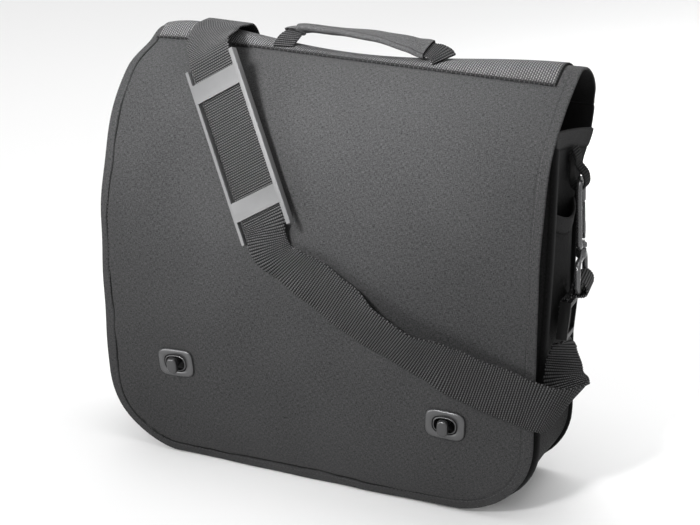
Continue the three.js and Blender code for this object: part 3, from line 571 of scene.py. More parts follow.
class Nodes:
    """Short ways to place and link nodes in one tree."""

    def __init__(self, tree):
        self.tree = tree

    def add(self, kind, **settings):
        node = self.tree.nodes.new(kind)
        for name, value in settings.items():
            setattr(node, name, value)
        return node

    def feed(self, socket, value):
        if isinstance(value, bpy.types.NodeSocket):
            self.tree.links.new(value, socket)
        else:
            socket.default_value = value

    def math(self, operation, *values, clamp=False):
        node = self.add("ShaderNodeMath", operation=operation, use_clamp=clamp)
        for socket, value in zip(node.inputs, values):
            self.feed(socket, value)
        return node.outputs[0]

    def mix(self, factor, first, second, kind="RGBA", blend="MIX"):
        node = self.add("ShaderNodeMix", data_type=kind, blend_type=blend, clamp_factor=True)
        picked = [socket for socket in node.inputs if socket.enabled]
        for socket, value in zip(picked, (factor, first, second)):
            self.feed(socket, value)
        return next(socket for socket in node.outputs if socket.enabled)

    def noise(self, vector, scale, detail=3.0, roughness=0.55):
        node = self.add("ShaderNodeTexNoise")
        self.feed(node.inputs["Vector"], vector)
        node.inputs["Scale"].default_value = scale
        node.inputs["Detail"].default_value = detail
        node.inputs["Roughness"].default_value = roughness
        return node.outputs["Fac"]

    def scaled(self, vector, scale):
        node = self.add("ShaderNodeMapping")
        self.feed(node.inputs["Vector"], vector)
        node.inputs["Scale"].default_value = scale
        return node.outputs[0]

    def stretch(self, value, low, high, to_low, to_high):
        node = self.add("ShaderNodeMapRange", clamp=True)
        for socket, number in zip(node.inputs, (value, low, high, to_low, to_high)):
            self.feed(socket, number)
        return node.outputs[0]

    def bulge(self, place):
        """Half a sine wave over each whole step of a place."""
        return self.math("SINE", self.math("MULTIPLY", self.math("FRACT", place), math.pi))

    def odd(self, place):
        return self.math("PINGPONG", place, 1.0)

    def mark(self, name):
        """Value that was painted on a piece."""
        return self.add("ShaderNodeAttribute", attribute_name=name).outputs["Fac"]

    def weave_place(self):
        return self.add("ShaderNodeAttribute", attribute_name="weave").outputs["Vector"]

    def own_place(self):
        return self.add("ShaderNodeTexCoord").outputs["Object"]

    def use(self, tree, **values):
        node = self.add("ShaderNodeGroup", node_tree=tree)
        for label, value in values.items():
            self.feed(node.inputs[label], value)
        return node.outputs

    def bump(self, shader, height, strength, distance):
        node = self.add("ShaderNodeBump")
        node.inputs["Strength"].default_value = strength
        node.inputs["Distance"].default_value = distance
        self.feed(node.inputs["Height"], height)
        self.feed(shader.inputs["Normal"], node.outputs[0])


def group(name, inputs, outputs):
    tree = bpy.data.node_groups.new(name, "ShaderNodeTree")
    for label, kind, value in inputs:
        socket = tree.interface.new_socket(label, in_out="INPUT", socket_type=kind)
        if value is not None:
            socket.default_value = value
    for label in outputs:
        tree.interface.new_socket(label, in_out="OUTPUT", socket_type=FLOAT)
    nodes = Nodes(tree)
    return tree, nodes, nodes.add("NodeGroupInput").outputs, nodes.add("NodeGroupOutput").inputs


def plain_weave():
    """Over-and-under yarns of woven cloth: height, and painted shade in the spaces between yarns."""
    inputs = [("Place", VECTOR, None), ("Yarn", FLOAT, 0.7)]
    tree, n, given, result = group("plain_weave", inputs, ["Height", "Gap_Shade"])
    split = n.add("ShaderNodeSeparateXYZ")
    n.feed(split.inputs[0], given["Place"])
    u = n.math("DIVIDE", split.outputs[0], given["Yarn"])
    v = n.math("DIVIDE", split.outputs[1], given["Yarn"])
    over = n.odd(n.math("ADD", n.math("FLOOR", u), n.math("FLOOR", v)))
    bulge_u, bulge_v = n.bulge(u), n.bulge(v)
    warp = n.math("MULTIPLY", bulge_u, n.math("MULTIPLY_ADD", bulge_v, 0.5, 0.5))
    weft = n.math("MULTIPLY", bulge_v, n.math("MULTIPLY_ADD", bulge_u, 0.5, 0.5))
    height = n.mix(over, warp, weft, kind="FLOAT")
    n.feed(result["Height"], height)
    n.feed(result["Gap_Shade"], n.math("SUBTRACT", 1.0, height, clamp=True))
    return tree


def ribbed_weave():
    """Cross ribs of webbing, each a row of small beads set off from the next: height."""
    inputs = [("Place", VECTOR, None), ("Rib", FLOAT, RIB), ("Bead", FLOAT, 1.5)]
    tree, n, given, result = group("ribbed_weave", inputs, ["Height"])
    split = n.add("ShaderNodeSeparateXYZ")
    n.feed(split.inputs[0], given["Place"])
    rib = n.math("DIVIDE", split.outputs[0], given["Rib"])
    odd = n.odd(n.math("FLOOR", rib))
    bead = n.math("ADD", n.math("DIVIDE", split.outputs[1], given["Bead"]), n.math("MULTIPLY", odd, 0.5))
    beaded = n.math("MULTIPLY_ADD", n.bulge(bead), 0.5, 0.5)
    n.feed(result["Height"], n.math("MULTIPLY", n.math("POWER", n.bulge(rib), 0.7), beaded))
    return tree


def cloth_age():
    """Uneven yarn and dye, and lint, of used cloth: a shade and a lint mask."""
    inputs = [("Place", VECTOR, None), ("Uneven", FLOAT, 0.2), ("Lint", FLOAT, 0.5)]
    tree, n, given, result = group("cloth_age", inputs, ["Shade", "Lint"])
    place = n.own_place()
    broad_share = 0.25
    yarns = ((0.4, 2.2, 1.0), (2.2, 0.4, 1.0), (2.0, 2.0, 1.0))
    total = n.math("MULTIPLY", n.noise(place, 9.0, 4.0), broad_share)
    for stretched in yarns:
        total = n.math("ADD", total, n.noise(n.scaled(given["Place"], stretched), 1.0, 2.0))
    uneven = n.math("SUBTRACT", total, NOISE_MIDDLE * (broad_share + len(yarns)))
    n.feed(result["Shade"], n.math("MULTIPLY_ADD", uneven, given["Uneven"], 1.0))
    specks = n.noise(place, 420.0, 1.0)
    n.feed(result["Lint"], n.math("MULTIPLY", n.stretch(specks, 0.74, 0.82, 0.0, 1.0), given["Lint"]))
    return tree


def scuffed():
    """Fine scratches and handling marks on hard pieces: a shade, a roughness change and a height."""
    tree, n, given, result = group("scuffed", [("Amount", FLOAT, 0.3)], ["Shade", "Rough", "Height"])
    place = n.own_place()
    scratches = n.noise(n.scaled(place, (1.0, 5.0, 1.6)), 700.0, 3.0, 0.7)
    cloudy = n.noise(place, 120.0, 3.0)
    marks = n.math("MULTIPLY", n.math("SUBTRACT", cloudy, NOISE_MIDDLE), given["Amount"])
    worn = n.math("MULTIPLY", n.math("SUBTRACT", scratches, NOISE_MIDDLE), given["Amount"])
    n.feed(result["Shade"], n.math("ADD", 1.0, marks))
    n.feed(result["Rough"], worn)
    n.feed(result["Height"], scratches)
    return tree


WEAVE, RIBS, AGE, SCUFF = plain_weave(), ribbed_weave(), cloth_age(), scuffed()


# Materials, with the shades of details on cloth and webbing as shares of their own grey; the darker yarn
# spaces and folds are painted shade, the lighter hem a painted highlight
CLOTH_SHADE = {"gap_shade": 0.62, "hem": 2.4, "crease_shade": 0.06, "lint": 2.5}
WEBBING_CREASE_SHADE = 0.08


def material(name):
    made = bpy.data.materials.new(name)
    made.use_nodes = True
    return made, Nodes(made.node_tree), made.node_tree.nodes["Principled BSDF"]


def grey(value):
    return (value, value, value * 1.02, 1.0)


def woven_cloth(name, light, lining=None):
    """Polyester cloth; the inside is a dull coated lining where one is given."""
    made, n, shader = material(name)
    place = n.weave_place()
    weave = n.use(WEAVE, Place=place, Yarn=0.75)
    age = n.use(AGE, Place=place, Uneven=2.2, Lint=0.05)
    # Darker in the spaces between yarns: painted shade.
    colour = n.mix(weave["Gap_Shade"], grey(light), grey(light * CLOTH_SHADE["gap_shade"]))
    colour = n.mix(1.0, colour, age["Shade"], blend="MULTIPLY")
    # Lighter where the hem mark is painted: a painted highlight on raised hems and seam ridges.
    colour = n.mix(n.mark("hem"), colour, grey(light * CLOTH_SHADE["hem"]))
    # Near black where folds are marked: painted shade in stitch grooves and folds.
    colour = n.mix(n.mark("crease_shade"), colour, grey(light * CLOTH_SHADE["crease_shade"]))
    colour = n.mix(age["Lint"], colour, grey(light * CLOTH_SHADE["lint"]))
    if lining is not None:
        colour = n.mix(n.mark("inside"), colour, grey(lining))
    n.feed(shader.inputs["Base Color"], colour)
    n.feed(shader.inputs["Roughness"], n.stretch(weave["Height"], 0.0, 1.0, 0.95, 0.78))
    shader.inputs["Specular IOR Level"].default_value = 0.15
    shader.inputs["Sheen Weight"].default_value = 0.03
    shader.inputs["Sheen Roughness"].default_value = 0.45
    grain = n.math("ADD", weave["Height"], n.math("MULTIPLY", age["Shade"], 0.9))
    n.bump(shader, grain, 0.6, 0.0003)
    return made


def ribbed_webbing(name, light, gap_shade=0.3, bright_highlight=1.5):
    """Coarse webbing with cross ribs: darker between the ribs as painted shade and lighter on their raised
    beads as painted highlight, from the darkest to the lightest share of its grey.
    """
    made, n, shader = material(name)
    place = n.weave_place()
    ribs = n.use(RIBS, Place=place, Rib=RIB, Bead=1.9)
    age = n.use(AGE, Place=place, Uneven=0.7, Lint=0.1)
    raised = n.stretch(ribs["Height"], 0.3, 0.95, 0.0, 1.0)
    # Painted shade between the ribs and painted highlight on the raised beads.
    colour = n.mix(raised, grey(light * gap_shade), grey(light * bright_highlight))
    colour = n.mix(1.0, colour, age["Shade"], blend="MULTIPLY")
    # Near black where folds are marked: painted shade in the slits under the band's edges.
    colour = n.mix(n.mark("crease_shade"), colour, grey(light * WEBBING_CREASE_SHADE))
    n.feed(shader.inputs["Base Color"], colour)
    n.feed(shader.inputs["Roughness"], n.stretch(ribs["Height"], 0.0, 1.0, 0.95, 0.6))
    shader.inputs["Specular IOR Level"].default_value = 0.15
    n.bump(shader, ribs["Height"], 0.9, 0.0006)
    return made


def thread(name, light):
    """Sewing thread."""
    made, n, shader = material(name)
    fibres = n.noise(n.own_place(), 900.0, 2.0)
    n.feed(shader.inputs["Base Color"], n.mix(fibres, grey(light * 0.6), grey(light * 1.6)))
    shader.inputs["Roughness"].default_value = 0.6
    return made


def satin_plastic(name, light, shine):
    """Moulded plastic with a dull shine."""
    made, n, shader = material(name)
    marks = n.use(SCUFF, Amount=0.16)
    n.feed(shader.inputs["Base Color"], n.mix(1.0, grey(light), marks["Shade"], blend="MULTIPLY"))
    n.feed(shader.inputs["Roughness"], n.math("ADD", 0.46, marks["Rough"]))
    shader.inputs["Specular IOR Level"].default_value = shine
    n.bump(shader, marks["Height"], 0.12, 0.0001)
    return made


def gunmetal(name, light, rough):
    """Dark plated metal; grooves marked on a piece are dull and black, as painted shade in the grooves and
    the slot.
    """
    made, n, shader = material(name)
    marks = n.use(SCUFF, Amount=0.25)
    groove = n.mark("crease_shade")
    shaded = n.mix(1.0, grey(light), marks["Shade"], blend="MULTIPLY")
    # Black where the groove mark is painted: painted shade
    n.feed(shader.inputs["Base Color"], n.mix(groove, shaded, grey(0.004)))
    worn = n.math("ADD", rough, marks["Rough"])
    n.feed(shader.inputs["Roughness"], n.mix(groove, worn, 0.9, kind="FLOAT"))
    shader.inputs["Metallic"].default_value = 0.75
    n.bump(shader, marks["Height"], 0.08, 0.0001)
    return made


CLOTH = woven_cloth("charcoal_cloth", 0.038, lining=0.005)
# The same cloth as the flap, darker as painted shade on the bag's shaded sides
SHADED_PANEL_CLOTH = woven_cloth("shaded_body_cloth", 0.014, lining=0.005)
SLEEVE_CLOTH = woven_cloth("sleeve_cloth", 0.056)
STRAP_WEB = ribbed_webbing("strap_webbing", 0.023, 0.03, 2.5)
BAND_WEB = ribbed_webbing("band_webbing", 0.076, 0.1, 2.0)
# Webbing darker than the strap's, as painted shade on the shaded handle
SHADED_HANDLE_WEB = ribbed_webbing("shaded_handle_webbing", 0.018, 0.06, 2.4)
# Near-black webbing, as painted shade on the hook loops in the shade of the gusset
SHADED_TAB_WEB = ribbed_webbing("shaded_tab_webbing", 0.006, 0.2)
THREAD = thread("black_thread", 0.02)
PLASTIC = satin_plastic("grey_plastic", 0.069, 0.5)
BLACK_PLASTIC = satin_plastic("black_plastic", 0.006, 0.12)
PLATE_METAL = gunmetal("plate_gunmetal", 0.092, 0.36)
KNOB_METAL = gunmetal("knob_gunmetal", 0.07, 0.32)
POST_METAL = gunmetal("post_gunmetal", 0.02, 0.5)
HOOK_METAL = gunmetal("hook_gunmetal", 0.11, 0.27)


def dress(piece, finish, slot, *nodes, body=BODY):
    """Gives a piece its finish, its body and the nodes that it stands for."""
    piece.data.materials.clear()
    piece.data.materials.append(finish)
    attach(piece, body)
    if nodes:
        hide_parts(*nodes)
    return piece


# Flap, with the relief of its hem: heights, and half widths or lengths along or across it
HEM_BAND = {"height": 0.45, "over": 0.4, "fade": 1.4, "rim": 1.2, "rim_from": 0.3}
HEM_GROOVE = {"depth": 0.5, "half": 0.6}
HEM_PUCKER = {"height": 0.16, "length": 1.7, "inside": 1.5, "half": 3}
# Painted shade in the groove of the hem's stitching: how dark, and its half width
HEM_CREASE_SHADE = {"dark": 1.5, "half": 0.5}
HEM_SHOWN = 0.85
HEM_FAINT = {"from": 30, "over": 100, "share": 0.25}
HEM_WAVE_REACH = 22
HEM_THREAD = {"outside": 1.2, "below_top": 6}
# Where the hem's runs along the sides and the bottom start, so that their waves differ
SIDE_RUN = 400
BOTTOM_RUN = 600
# How much nearer its side than its bottom a place on the hem is for the side's run
SIDE_NEARER = 1
# Slopes at which the hem's run crosses the waves
HEM_SLOPE = {"fading": 0.3, "slow": 0.2, "quick": 0.6}
# Where the flap is calm: near its edge, its locks and its top
CALM_EDGE = 40
CALM_LOCK = 30
CALM_TOP = {"height": 330, "over": 60, "level": 320}
# Steps of the flap's mesh: close together on the hem, wider inside it
FLAP_STEP = {"hem": 0.5, "hem_count": 24, "inside": 3.4}
FLAP_ROWS = {"from": 13.5, "front": 86, "top": 48}
# How many places the line of the hem's stitches is worked out at
HEM_PLACES = {"side": 260, "corner": 80, "bottom": 240}


def drawn_in(x, row):
    """Where the flap's cloth lies after it is drawn in at the top: more on the left, a little at the back."""
    at_seam = ease((row - ROW["rear"]) / (ROW["seam"] - ROW["rear"]))
    at_top = ease((row - DRAWN_IN["from"]) / (DRAWN_IN["to"] - DRAWN_IN["from"]))
    inset = mix(np.where(x < 0, DRAWN_IN["left"] * at_top, 0), DRAWN_IN["seam"], at_seam)
    return x * (1 - inset / FLAP_HALF)


def flap_edge(x, rise):
    """How far a point of the flap is from its hemmed edge."""
    return edge_distance(x, rise, FLAP_HALF, FLAP_CORNER)


def edge_run(x, rise, edge):
    """Distance along the flap's edge, for what repeats along the hem."""
    return np.where(rise > edge + SIDE_NEARER, SIDE_RUN - rise, x + BOTTOM_RUN)


def hem_strength(x, along):
    """How plainly the hem shows: clear on the left and below, faint on the right."""
    faint = ease((x - HEM_FAINT["from"]) / HEM_FAINT["over"])
    shown = HEM_SHOWN + waves(along, HEM_SLOPE["fading"] * along, HEM_FADING)
    return mix(1.0, HEM_FAINT["share"], faint) * shown


def hem_line(along):
    """Distance of the hem's stitching from the edge, which wanders a little."""
    slow = waves(along, HEM_SLOPE["slow"] * along, HEM_SLOW_WANDER)
    quick = waves(along, HEM_SLOPE["quick"] * along, HEM_QUICK_WANDER)
    return HEM + slow + quick


def hem_relief(distance, x, along):
    """Doubled hem: a raised band, the groove of its stitching and small puckers."""
    line = hem_line(along)
    rim = ease(distance / HEM_BAND["rim"] + HEM_BAND["rim_from"])
    band = up_to(distance, line + HEM_BAND["over"], HEM_BAND["fade"]) * rim
    groove = line_at(distance, line, HEM_GROOVE["half"])
    gathered = line_at(distance, line - HEM_PUCKER["inside"], HEM_PUCKER["half"])
    pucker = HEM_PUCKER["height"] * np.sin(along / HEM_PUCKER["length"]) * gathered
    return (HEM_BAND["height"] * band - HEM_GROOVE["depth"] * groove + pucker) * hem_strength(x, along)


def front_row(x, rise):
    """Row of the flap at a rise above its lower edge."""
    lift = HEM_LIFT * np.clip(x / FLAP_HALF, 0, 1) * (1 - rise / FRONT_RISE)
    return flap_row_at(x, HEM_HEIGHT + rise + lift)


def flap_soft(x, rise, height):
    """Small unevenness of the cloth: broad waves, and shorter ones along the hem; none at the locks."""
    edge = flap_edge(x, rise)
    broad = waves(x, height, FLAP_BROAD_WAVE) + waves(x, height, FLAP_SHORT_WAVE)
    hemmed = waves(x, height, FLAP_HEM_WAVE) * line_at(edge, 0, HEM_WAVE_REACH)
    free = ease((CALM_TOP["height"] - height) / CALM_TOP["over"])
    for _, lock_x, lock_z, _ in LOCKS:
        free = free * (1 - line_at(np.hypot(x - lock_x, height - lock_z), 0, CALM_LOCK))
    return (broad * ease(edge / CALM_EDGE) + hemmed) * free


def flap_grid():
    fine, count = FLAP_STEP["hem"], FLAP_STEP["hem_count"]
    share = from_both_ends(1.0, fine / FLAP_HALF, count, FLAP_STEP["inside"] / FLAP_HALF)[:, None]
    inside = np.linspace(FLAP_ROWS["from"], FRONT_RISE, FLAP_ROWS["front"])
    rises = np.concatenate([np.arange(count + 1) * fine, inside])
    upper = np.linspace(0, 1, FLAP_ROWS["top"])[1:]
    half = np.concatenate([half_width(rises, FLAP_HALF, FLAP_CORNER), np.full(len(upper), FLAP_HALF)])
    x = share * half
    rise = np.broadcast_to(np.concatenate([rises, FRONT_RISE + upper * FLAP_OVER_TOP]), x.shape)
    front_rows = front_row(x[:, :len(rises)], rise[:, :len(rises)])
    rows = np.concatenate([front_rows, mix(front_rows[:, -1:], float(ROW["seam"]), upper)], 1)
    return flap_at(drawn_in(x, rows), rows), x, rise


def lock_matrix(x, z, roll):
    """Frame of a lock: origin on the flap's face, Z out of the flap and Y up along it."""
    row = flap_row_at(np.array([x]), np.array([z]))
    out = flap_normal(np.array([x]), row)[0]
    up = square_to(np.array([0.0, 0, 1]), out)
    origin = flap_at(np.array([x]), row)[0] + out * FLAP_WALL / 2
    turn = math.radians(roll)
    spin = np.eye(4)
    spin[:2, :2] = ((math.cos(turn), -math.sin(turn)), (math.sin(turn), math.cos(turn)))
    return basis(np.cross(up, out), up, out, origin) @ spin


def make_flap():
    grid, x, rise = flap_grid()
    edge = flap_edge(x, rise)
    along = edge_run(x, rise, edge)
    soft = flap_soft(x, rise, np.minimum(grid[..., 2], CALM_TOP["level"]))
    grid = grid + grid_normals(grid) * soft[..., None]
    # Painted shade along the groove of the hem's stitching
    crease_shade = HEM_CREASE_SHADE["dark"] * line_at(edge, hem_line(along), HEM_CREASE_SHADE["half"]) * hem_strength(x, along)
    face = FLAP_WALL / 2 + hem_relief(edge, x, along)
    cloth = wall_mesh("flap_cloth", grid, face, -FLAP_WALL / 2, {"crease_shade": np.clip(crease_shade, 0, 1)})
    half_x, half_y = [LOCK_SLOT[size] / 2 + LOCK_SLOT["ease"] for size in ("width", "height")]
    for _, lock_x, lock_z, roll in LOCKS:
        rings = [oval(half_x, half_y, LOCK_SLOT["square"], height) for height in LOCK_HOLE_ENDS]
        hole = ring_mesh("hole", placed(lock_matrix(lock_x, lock_z, roll), rings), False, smooth=False)
        combined(cloth, hole, "DIFFERENCE")
    return cloth


def make_hem_thread():
    """Stitches along the flap's hem, from the left top round the bottom to the right top."""
    inner = FLAP_CORNER - HEM + HEM_THREAD["outside"]
    half = FLAP_HALF - FLAP_CORNER
    side = np.linspace(FRONT_RISE - HEM_THREAD["below_top"], FLAP_CORNER, HEM_PLACES["side"])
    bottom = np.linspace(-half, half, HEM_PLACES["bottom"])
    turn = np.linspace(0, math.pi / 2, HEM_PLACES["corner"])
    corner = np.stack([-half - inner * np.cos(turn), FLAP_CORNER - inner * np.sin(turn)], -1)
    left = np.concatenate([np.stack([np.full(len(side), -half - inner), side], -1), corner])
    below = np.stack([bottom, np.full(len(bottom), FLAP_CORNER - inner)], -1)
    x, rise = np.concatenate([left, below, left[::-1] * (-1, 1)]).T
    rows = front_row(x, rise)
    normals = flap_normal(x, rows)
    places = flap_at(drawn_in(x, rows), rows)
    edge = flap_edge(x, rise)
    lift = flap_soft(x, rise, places[:, 2]) + hem_relief(edge, x, edge_run(x, rise, edge))
    return stitches("flap_hem_thread", places + normals * lift[:, None], normals, FLAP_WALL / 2)


flap = dress(make_flap(), CLOTH, "cloth", "flap")
flap_thread = dress(make_hem_thread(), THREAD, "cloth")

# Body panels, with the relief of their seams and hems
SEAM_GROOVE = {"depth": 0.5, "half": 1.2}
SEAM_PUCKER = 0.12
# Painted shade along the seam's groove: how dark and its half width
SEAM_SHADE = {"dark": 0.7, "half": 0.9}
PANEL_HEM_GROOVE = {"depth": 0.4, "half": 1.2}
PANEL_CALM = 50
# Half width of a painted highlight along the panels' sewn edge
PIPING_HIGHLIGHT = 1.4
# Painted highlight along the gusset's front seam ridge: how pale and its half width
GUSSET_PIPING_HIGHLIGHT = {"pale": 0.9, "half": 1.6}
GUSSET_CALM = {"floor": 60, "top": 20}
# Top hems: depth, fade, groove half width, half width of the painted shade at the stitching, and fade of the
# painted highlight on the band
TOP_HEM = {"depth": 12.5, "fade": 1.5, "groove": 1.0, "stitch": 0.8, "pale_fade": 1.0}
# Top hems of the gusset and pockets: raised height, groove depth, and strength of the painted highlight on
# the band
GUSSET_HEM = {"raised": 0.5, "groove": 0.45, "pale": 0.55}
POCKET_HEM = {"raised": 0.35, "groove": 0.4, "pale": 0.4}
GUSSET_WAVE_SQUEEZE = 1.5
# Steps of the panels' mesh, close together at the seams and the top hem, and of the gusset's round the bag
PANEL_STEP = {"seam": 1.2, "seam_count": 10, "inside": 5.5}
PANEL_ROWS = {"from": 13, "to_top": 12, "inside": 56, "hem_from": 11, "hem": 9}
GUSSET_STEP = {"hem": 18, "hem_rows": 15, "side": 4, "corner_rows": 22, "floor_rows": 34}
# Stretches of steps across the gusset, across a pocket and down a pocket: start, end and count
GUSSET_ACROSS = ((0, 0.1, 6), (0.13, 0.87, 22), (0.9, 1, 6))
POCKET_ACROSS = ((0, 0.08, 6), (0.1, 0.9, 22), (0.92, 1, 6))
POCKET_DOWN = ((0, 0.1, 14), (0.12, 1, 46))
front_seam = height_curve("front")
back_seam = height_curve("back")
back_middle = height_curve("back_middle")
gusset_sink = height_curve("sink")


def panel_inside(x, z):
    """How far a point of a panel is from its sewn edges, 0 at the edge to 1 well inside."""
    rise = z - corner_rise(x, PANEL_HALF, BODY_CORNER)
    return ease((PANEL_HALF - np.abs(x)) / PANEL_EASE) * ease(rise / PANEL_EASE)


def front_face(x, z):
    free = flap_at(x, flap_row_at(x, z))[..., 1] + FLAP_TO_FRONT
    return np.maximum(mix(front_seam(z), free, panel_inside(x, z)), free)


def back_face(x, z):
    return mix(back_seam(z), back_middle(z), panel_inside(x, z))


def make_panel(name, face, top, facing, piping_highlight):
    """Panel sewn to the gusset; facing is 1 at the front and -1 at the back."""
    fine, count = PANEL_STEP["seam"], PANEL_STEP["seam_count"]
    share = from_both_ends(1.0, fine / PANEL_HALF, count, PANEL_STEP["inside"] / PANEL_HALF) * facing
    middle = np.linspace(PANEL_ROWS["from"], top - PANEL_ROWS["to_top"], PANEL_ROWS["inside"])
    end = np.linspace(top - PANEL_ROWS["hem_from"], top, PANEL_ROWS["hem"])
    rises = np.concatenate([np.arange(count) * fine, middle, end])
    x = share[:, None] * half_width(rises, PANEL_HALF, BODY_CORNER)
    z = np.broadcast_to(rises, x.shape)
    grid = np.stack([x, face(x, z), z], -1)
    edge = edge_distance(x, z, PANEL_HALF, BODY_CORNER)
    soft = waves(x, z, PANEL_WAVE) * ease(edge / PANEL_CALM)
    pucker = SEAM_PUCKER * np.sin((z + x) / HEM_PUCKER["length"]) * line_at(edge, 0, PANEL_SEAM)
    seam = SEAM_GROOVE["depth"] * line_at(edge, PANEL_SEAM, SEAM_GROOVE["half"])
    hem = PANEL_HEM_GROOVE["depth"] * line_at(top - z, PANEL_HEM, PANEL_HEM_GROOVE["half"])
    # Painted shade in the seam's groove, and a painted highlight along the sewn edge
    sewn = SEAM_SHADE["dark"] * line_at(edge, PANEL_SEAM, SEAM_SHADE["half"])
    marks = {"crease_shade": sewn, "hem": piping_highlight * line_at(edge, 0, PIPING_HIGHLIGHT)}
    return wall_mesh(name, grid, soft + pucker - seam - hem, soft - BODY_WALL, marks)


# Gusset and its side pockets
def gusset_outline():
    """From the right top round the bottom to the left top: x, z and the way out of the bag."""
    fine = np.linspace(GUSSET_TOP, GUSSET_TOP - GUSSET_STEP["hem"], GUSSET_STEP["hem_rows"])
    step = GUSSET_STEP["side"]
    heights = np.concatenate([fine, np.arange(fine[-1] - step, BODY_CORNER, -step)])
    angles = np.linspace(0, math.pi / 2, GUSSET_STEP["corner_rows"])
    out_x = np.concatenate([np.ones(len(heights)), np.cos(angles)])
    out_z = np.concatenate([np.zeros(len(heights)), -np.sin(angles)])
    x = BODY_HALF - BODY_CORNER + BODY_CORNER * out_x
    z = np.concatenate([heights, BODY_CORNER - BODY_CORNER * np.sin(angles)])
    floor_x = np.linspace(x[-1], -x[-1], GUSSET_STEP["floor_rows"])[1:-1]
    zeros = np.zeros(len(floor_x))
    return (np.concatenate([x, floor_x, -x[::-1]]), np.concatenate([z, zeros, z[::-1]]),
            np.concatenate([out_x, zeros, -out_x[::-1]]), np.concatenate([out_z, zeros - 1, out_z[::-1]]))


def gusset_at(x, z, out_x, out_z, part):
    """Point of the gusset; its top falls towards the back and flares out to the flap there."""
    near_top = ease((z - GUSSET_FLARE_FROM) / (GUSSET_TOP - GUSSET_FLARE_FROM))
    height = z + GUSSET_FALL * (0.5 - part) * near_top
    start = front_seam(height) + BODY_WALL + SEAM_GAP
    end = back_seam(height) - BODY_WALL - BACK_SEAM_GAP
    drawn = gusset_sink(z) * arch(part) - GUSSET_FLARE * part * near_top
    return np.stack([x - out_x * drawn, mix(start, end, part), height - out_z * drawn], -1)


def top_hem(depth, raised, groove, pale):
    """Hem along a top edge: its relief, painted shade at its stitching and a painted highlight on its band.
    """
    end = TOP_HEM["depth"]
    lift = raised * up_to(depth, end, TOP_HEM["fade"]) - groove * line_at(depth, end, TOP_HEM["groove"])
    return lift, line_at(depth, end, TOP_HEM["stitch"]), pale * up_to(depth, end, TOP_HEM["pale_fade"])


def make_gusset():
    outline = [values[:, None] for values in gusset_outline()]
    x, z, out_x, out_z, part = np.broadcast_arrays(*outline, in_stretches(GUSSET_ACROSS))
    grid = gusset_at(x, z, out_x, out_z, part)
    depth = GUSSET_TOP - z
    # Painted shade at the top hem's stitching, a painted highlight on its band and along the front seam's
    # ridge
    lift, crease_shade, pale = top_hem(depth, **GUSSET_HEM)
    piping_highlight = GUSSET_PIPING_HIGHLIGHT["pale"] * line_at(grid[..., 1], grid[:, :1, 1], GUSSET_PIPING_HIGHLIGHT["half"])
    calm = ease(z / GUSSET_CALM["floor"]) * ease(depth / GUSSET_CALM["top"])
    soft = waves(z, grid[..., 1] * GUSSET_WAVE_SQUEEZE, GUSSET_WAVE) * calm
    marks = {"crease_shade": crease_shade, "hem": np.maximum(pale, piping_highlight)}
    return wall_mesh("gusset_cloth", grid, soft + lift, soft - BODY_WALL, marks)


def pocket_grid(side):
    across = in_stretches(POCKET_ACROSS)[::side]
    down, part = np.meshgrid(in_stretches(POCKET_DOWN), across, indexing="ij")
    inset = POCKET["inset"]
    z = mix(POCKET["top"] - POCKET["sag"] * arch(part), POCKET["bottom"], down)
    start = front_seam(z) + BODY_WALL + inset
    end = back_seam(z) - BODY_WALL - inset
    on_gusset = mix(inset, end - start + inset, part) / (end - start + 2 * inset)
    seat = gusset_at(BODY_HALF, z, 1, 0, on_gusset)[..., 0]
    stand = POCKET["stand"] * arch(part) * np.cos(down * math.pi / 2)
    grid = np.stack([side * (seat + POCKET["off"] + stand), mix(start, end, part), z], -1)
    return grid, down * (POCKET["top"] - POCKET["bottom"])


def make_pocket(side, name):
    """Patch pocket; side is 1 on the right and -1 on the left."""
    grid, depth = pocket_grid(side)
    # Painted shade at the hem's stitching and a painted highlight on its band
    lift, crease_shade, pale = top_hem(depth, **POCKET_HEM)
    return wall_mesh(name, grid, BODY_WALL + lift, 0, {"crease_shade": crease_shade, "hem": pale})


front_panel = dress(make_panel("front_panel_cloth", front_face, FRONT_TOP, 1, 1.0),
                    SHADED_PANEL_CLOTH, "cloth", "front_panel")
back_panel = dress(make_panel("back_panel_cloth", back_face, BACK_TOP, -1, 0.2), CLOTH, "cloth", "back_panel")
gusset = dress(make_gusset(), SHADED_PANEL_CLOTH, "cloth", "gusset")
pockets = [dress(make_pocket(side, f"side_pocket_{name}_cloth"), SHADED_PANEL_CLOTH, "cloth", f"side_pocket_{name}")
           for name, side in SIDES]

# Webbing runs through stations of its centre, the direction across it, its spread and its ripple
Station = namedtuple("Station", "centre across spread ripple", defaults=(1, 0))
# Steps from station to station and in a rib, a rib's rounding and the middle of the ripple
STATION_STEPS = 60
RIB_STEPS = 4
RIB_ROUNDING = 0.8
RIPPLE_MIDDLE = 0.5


def rib_lift(along):
    """Half thickness of webbing along its length, with a ridge at each rib."""
    ridge = np.abs(np.sin(math.pi * along / RIB)) ** RIB_ROUNDING
    return WEBBING_WALL / 2 + RIB_PROUD - RIB_DEPTH * (1 - ridge)


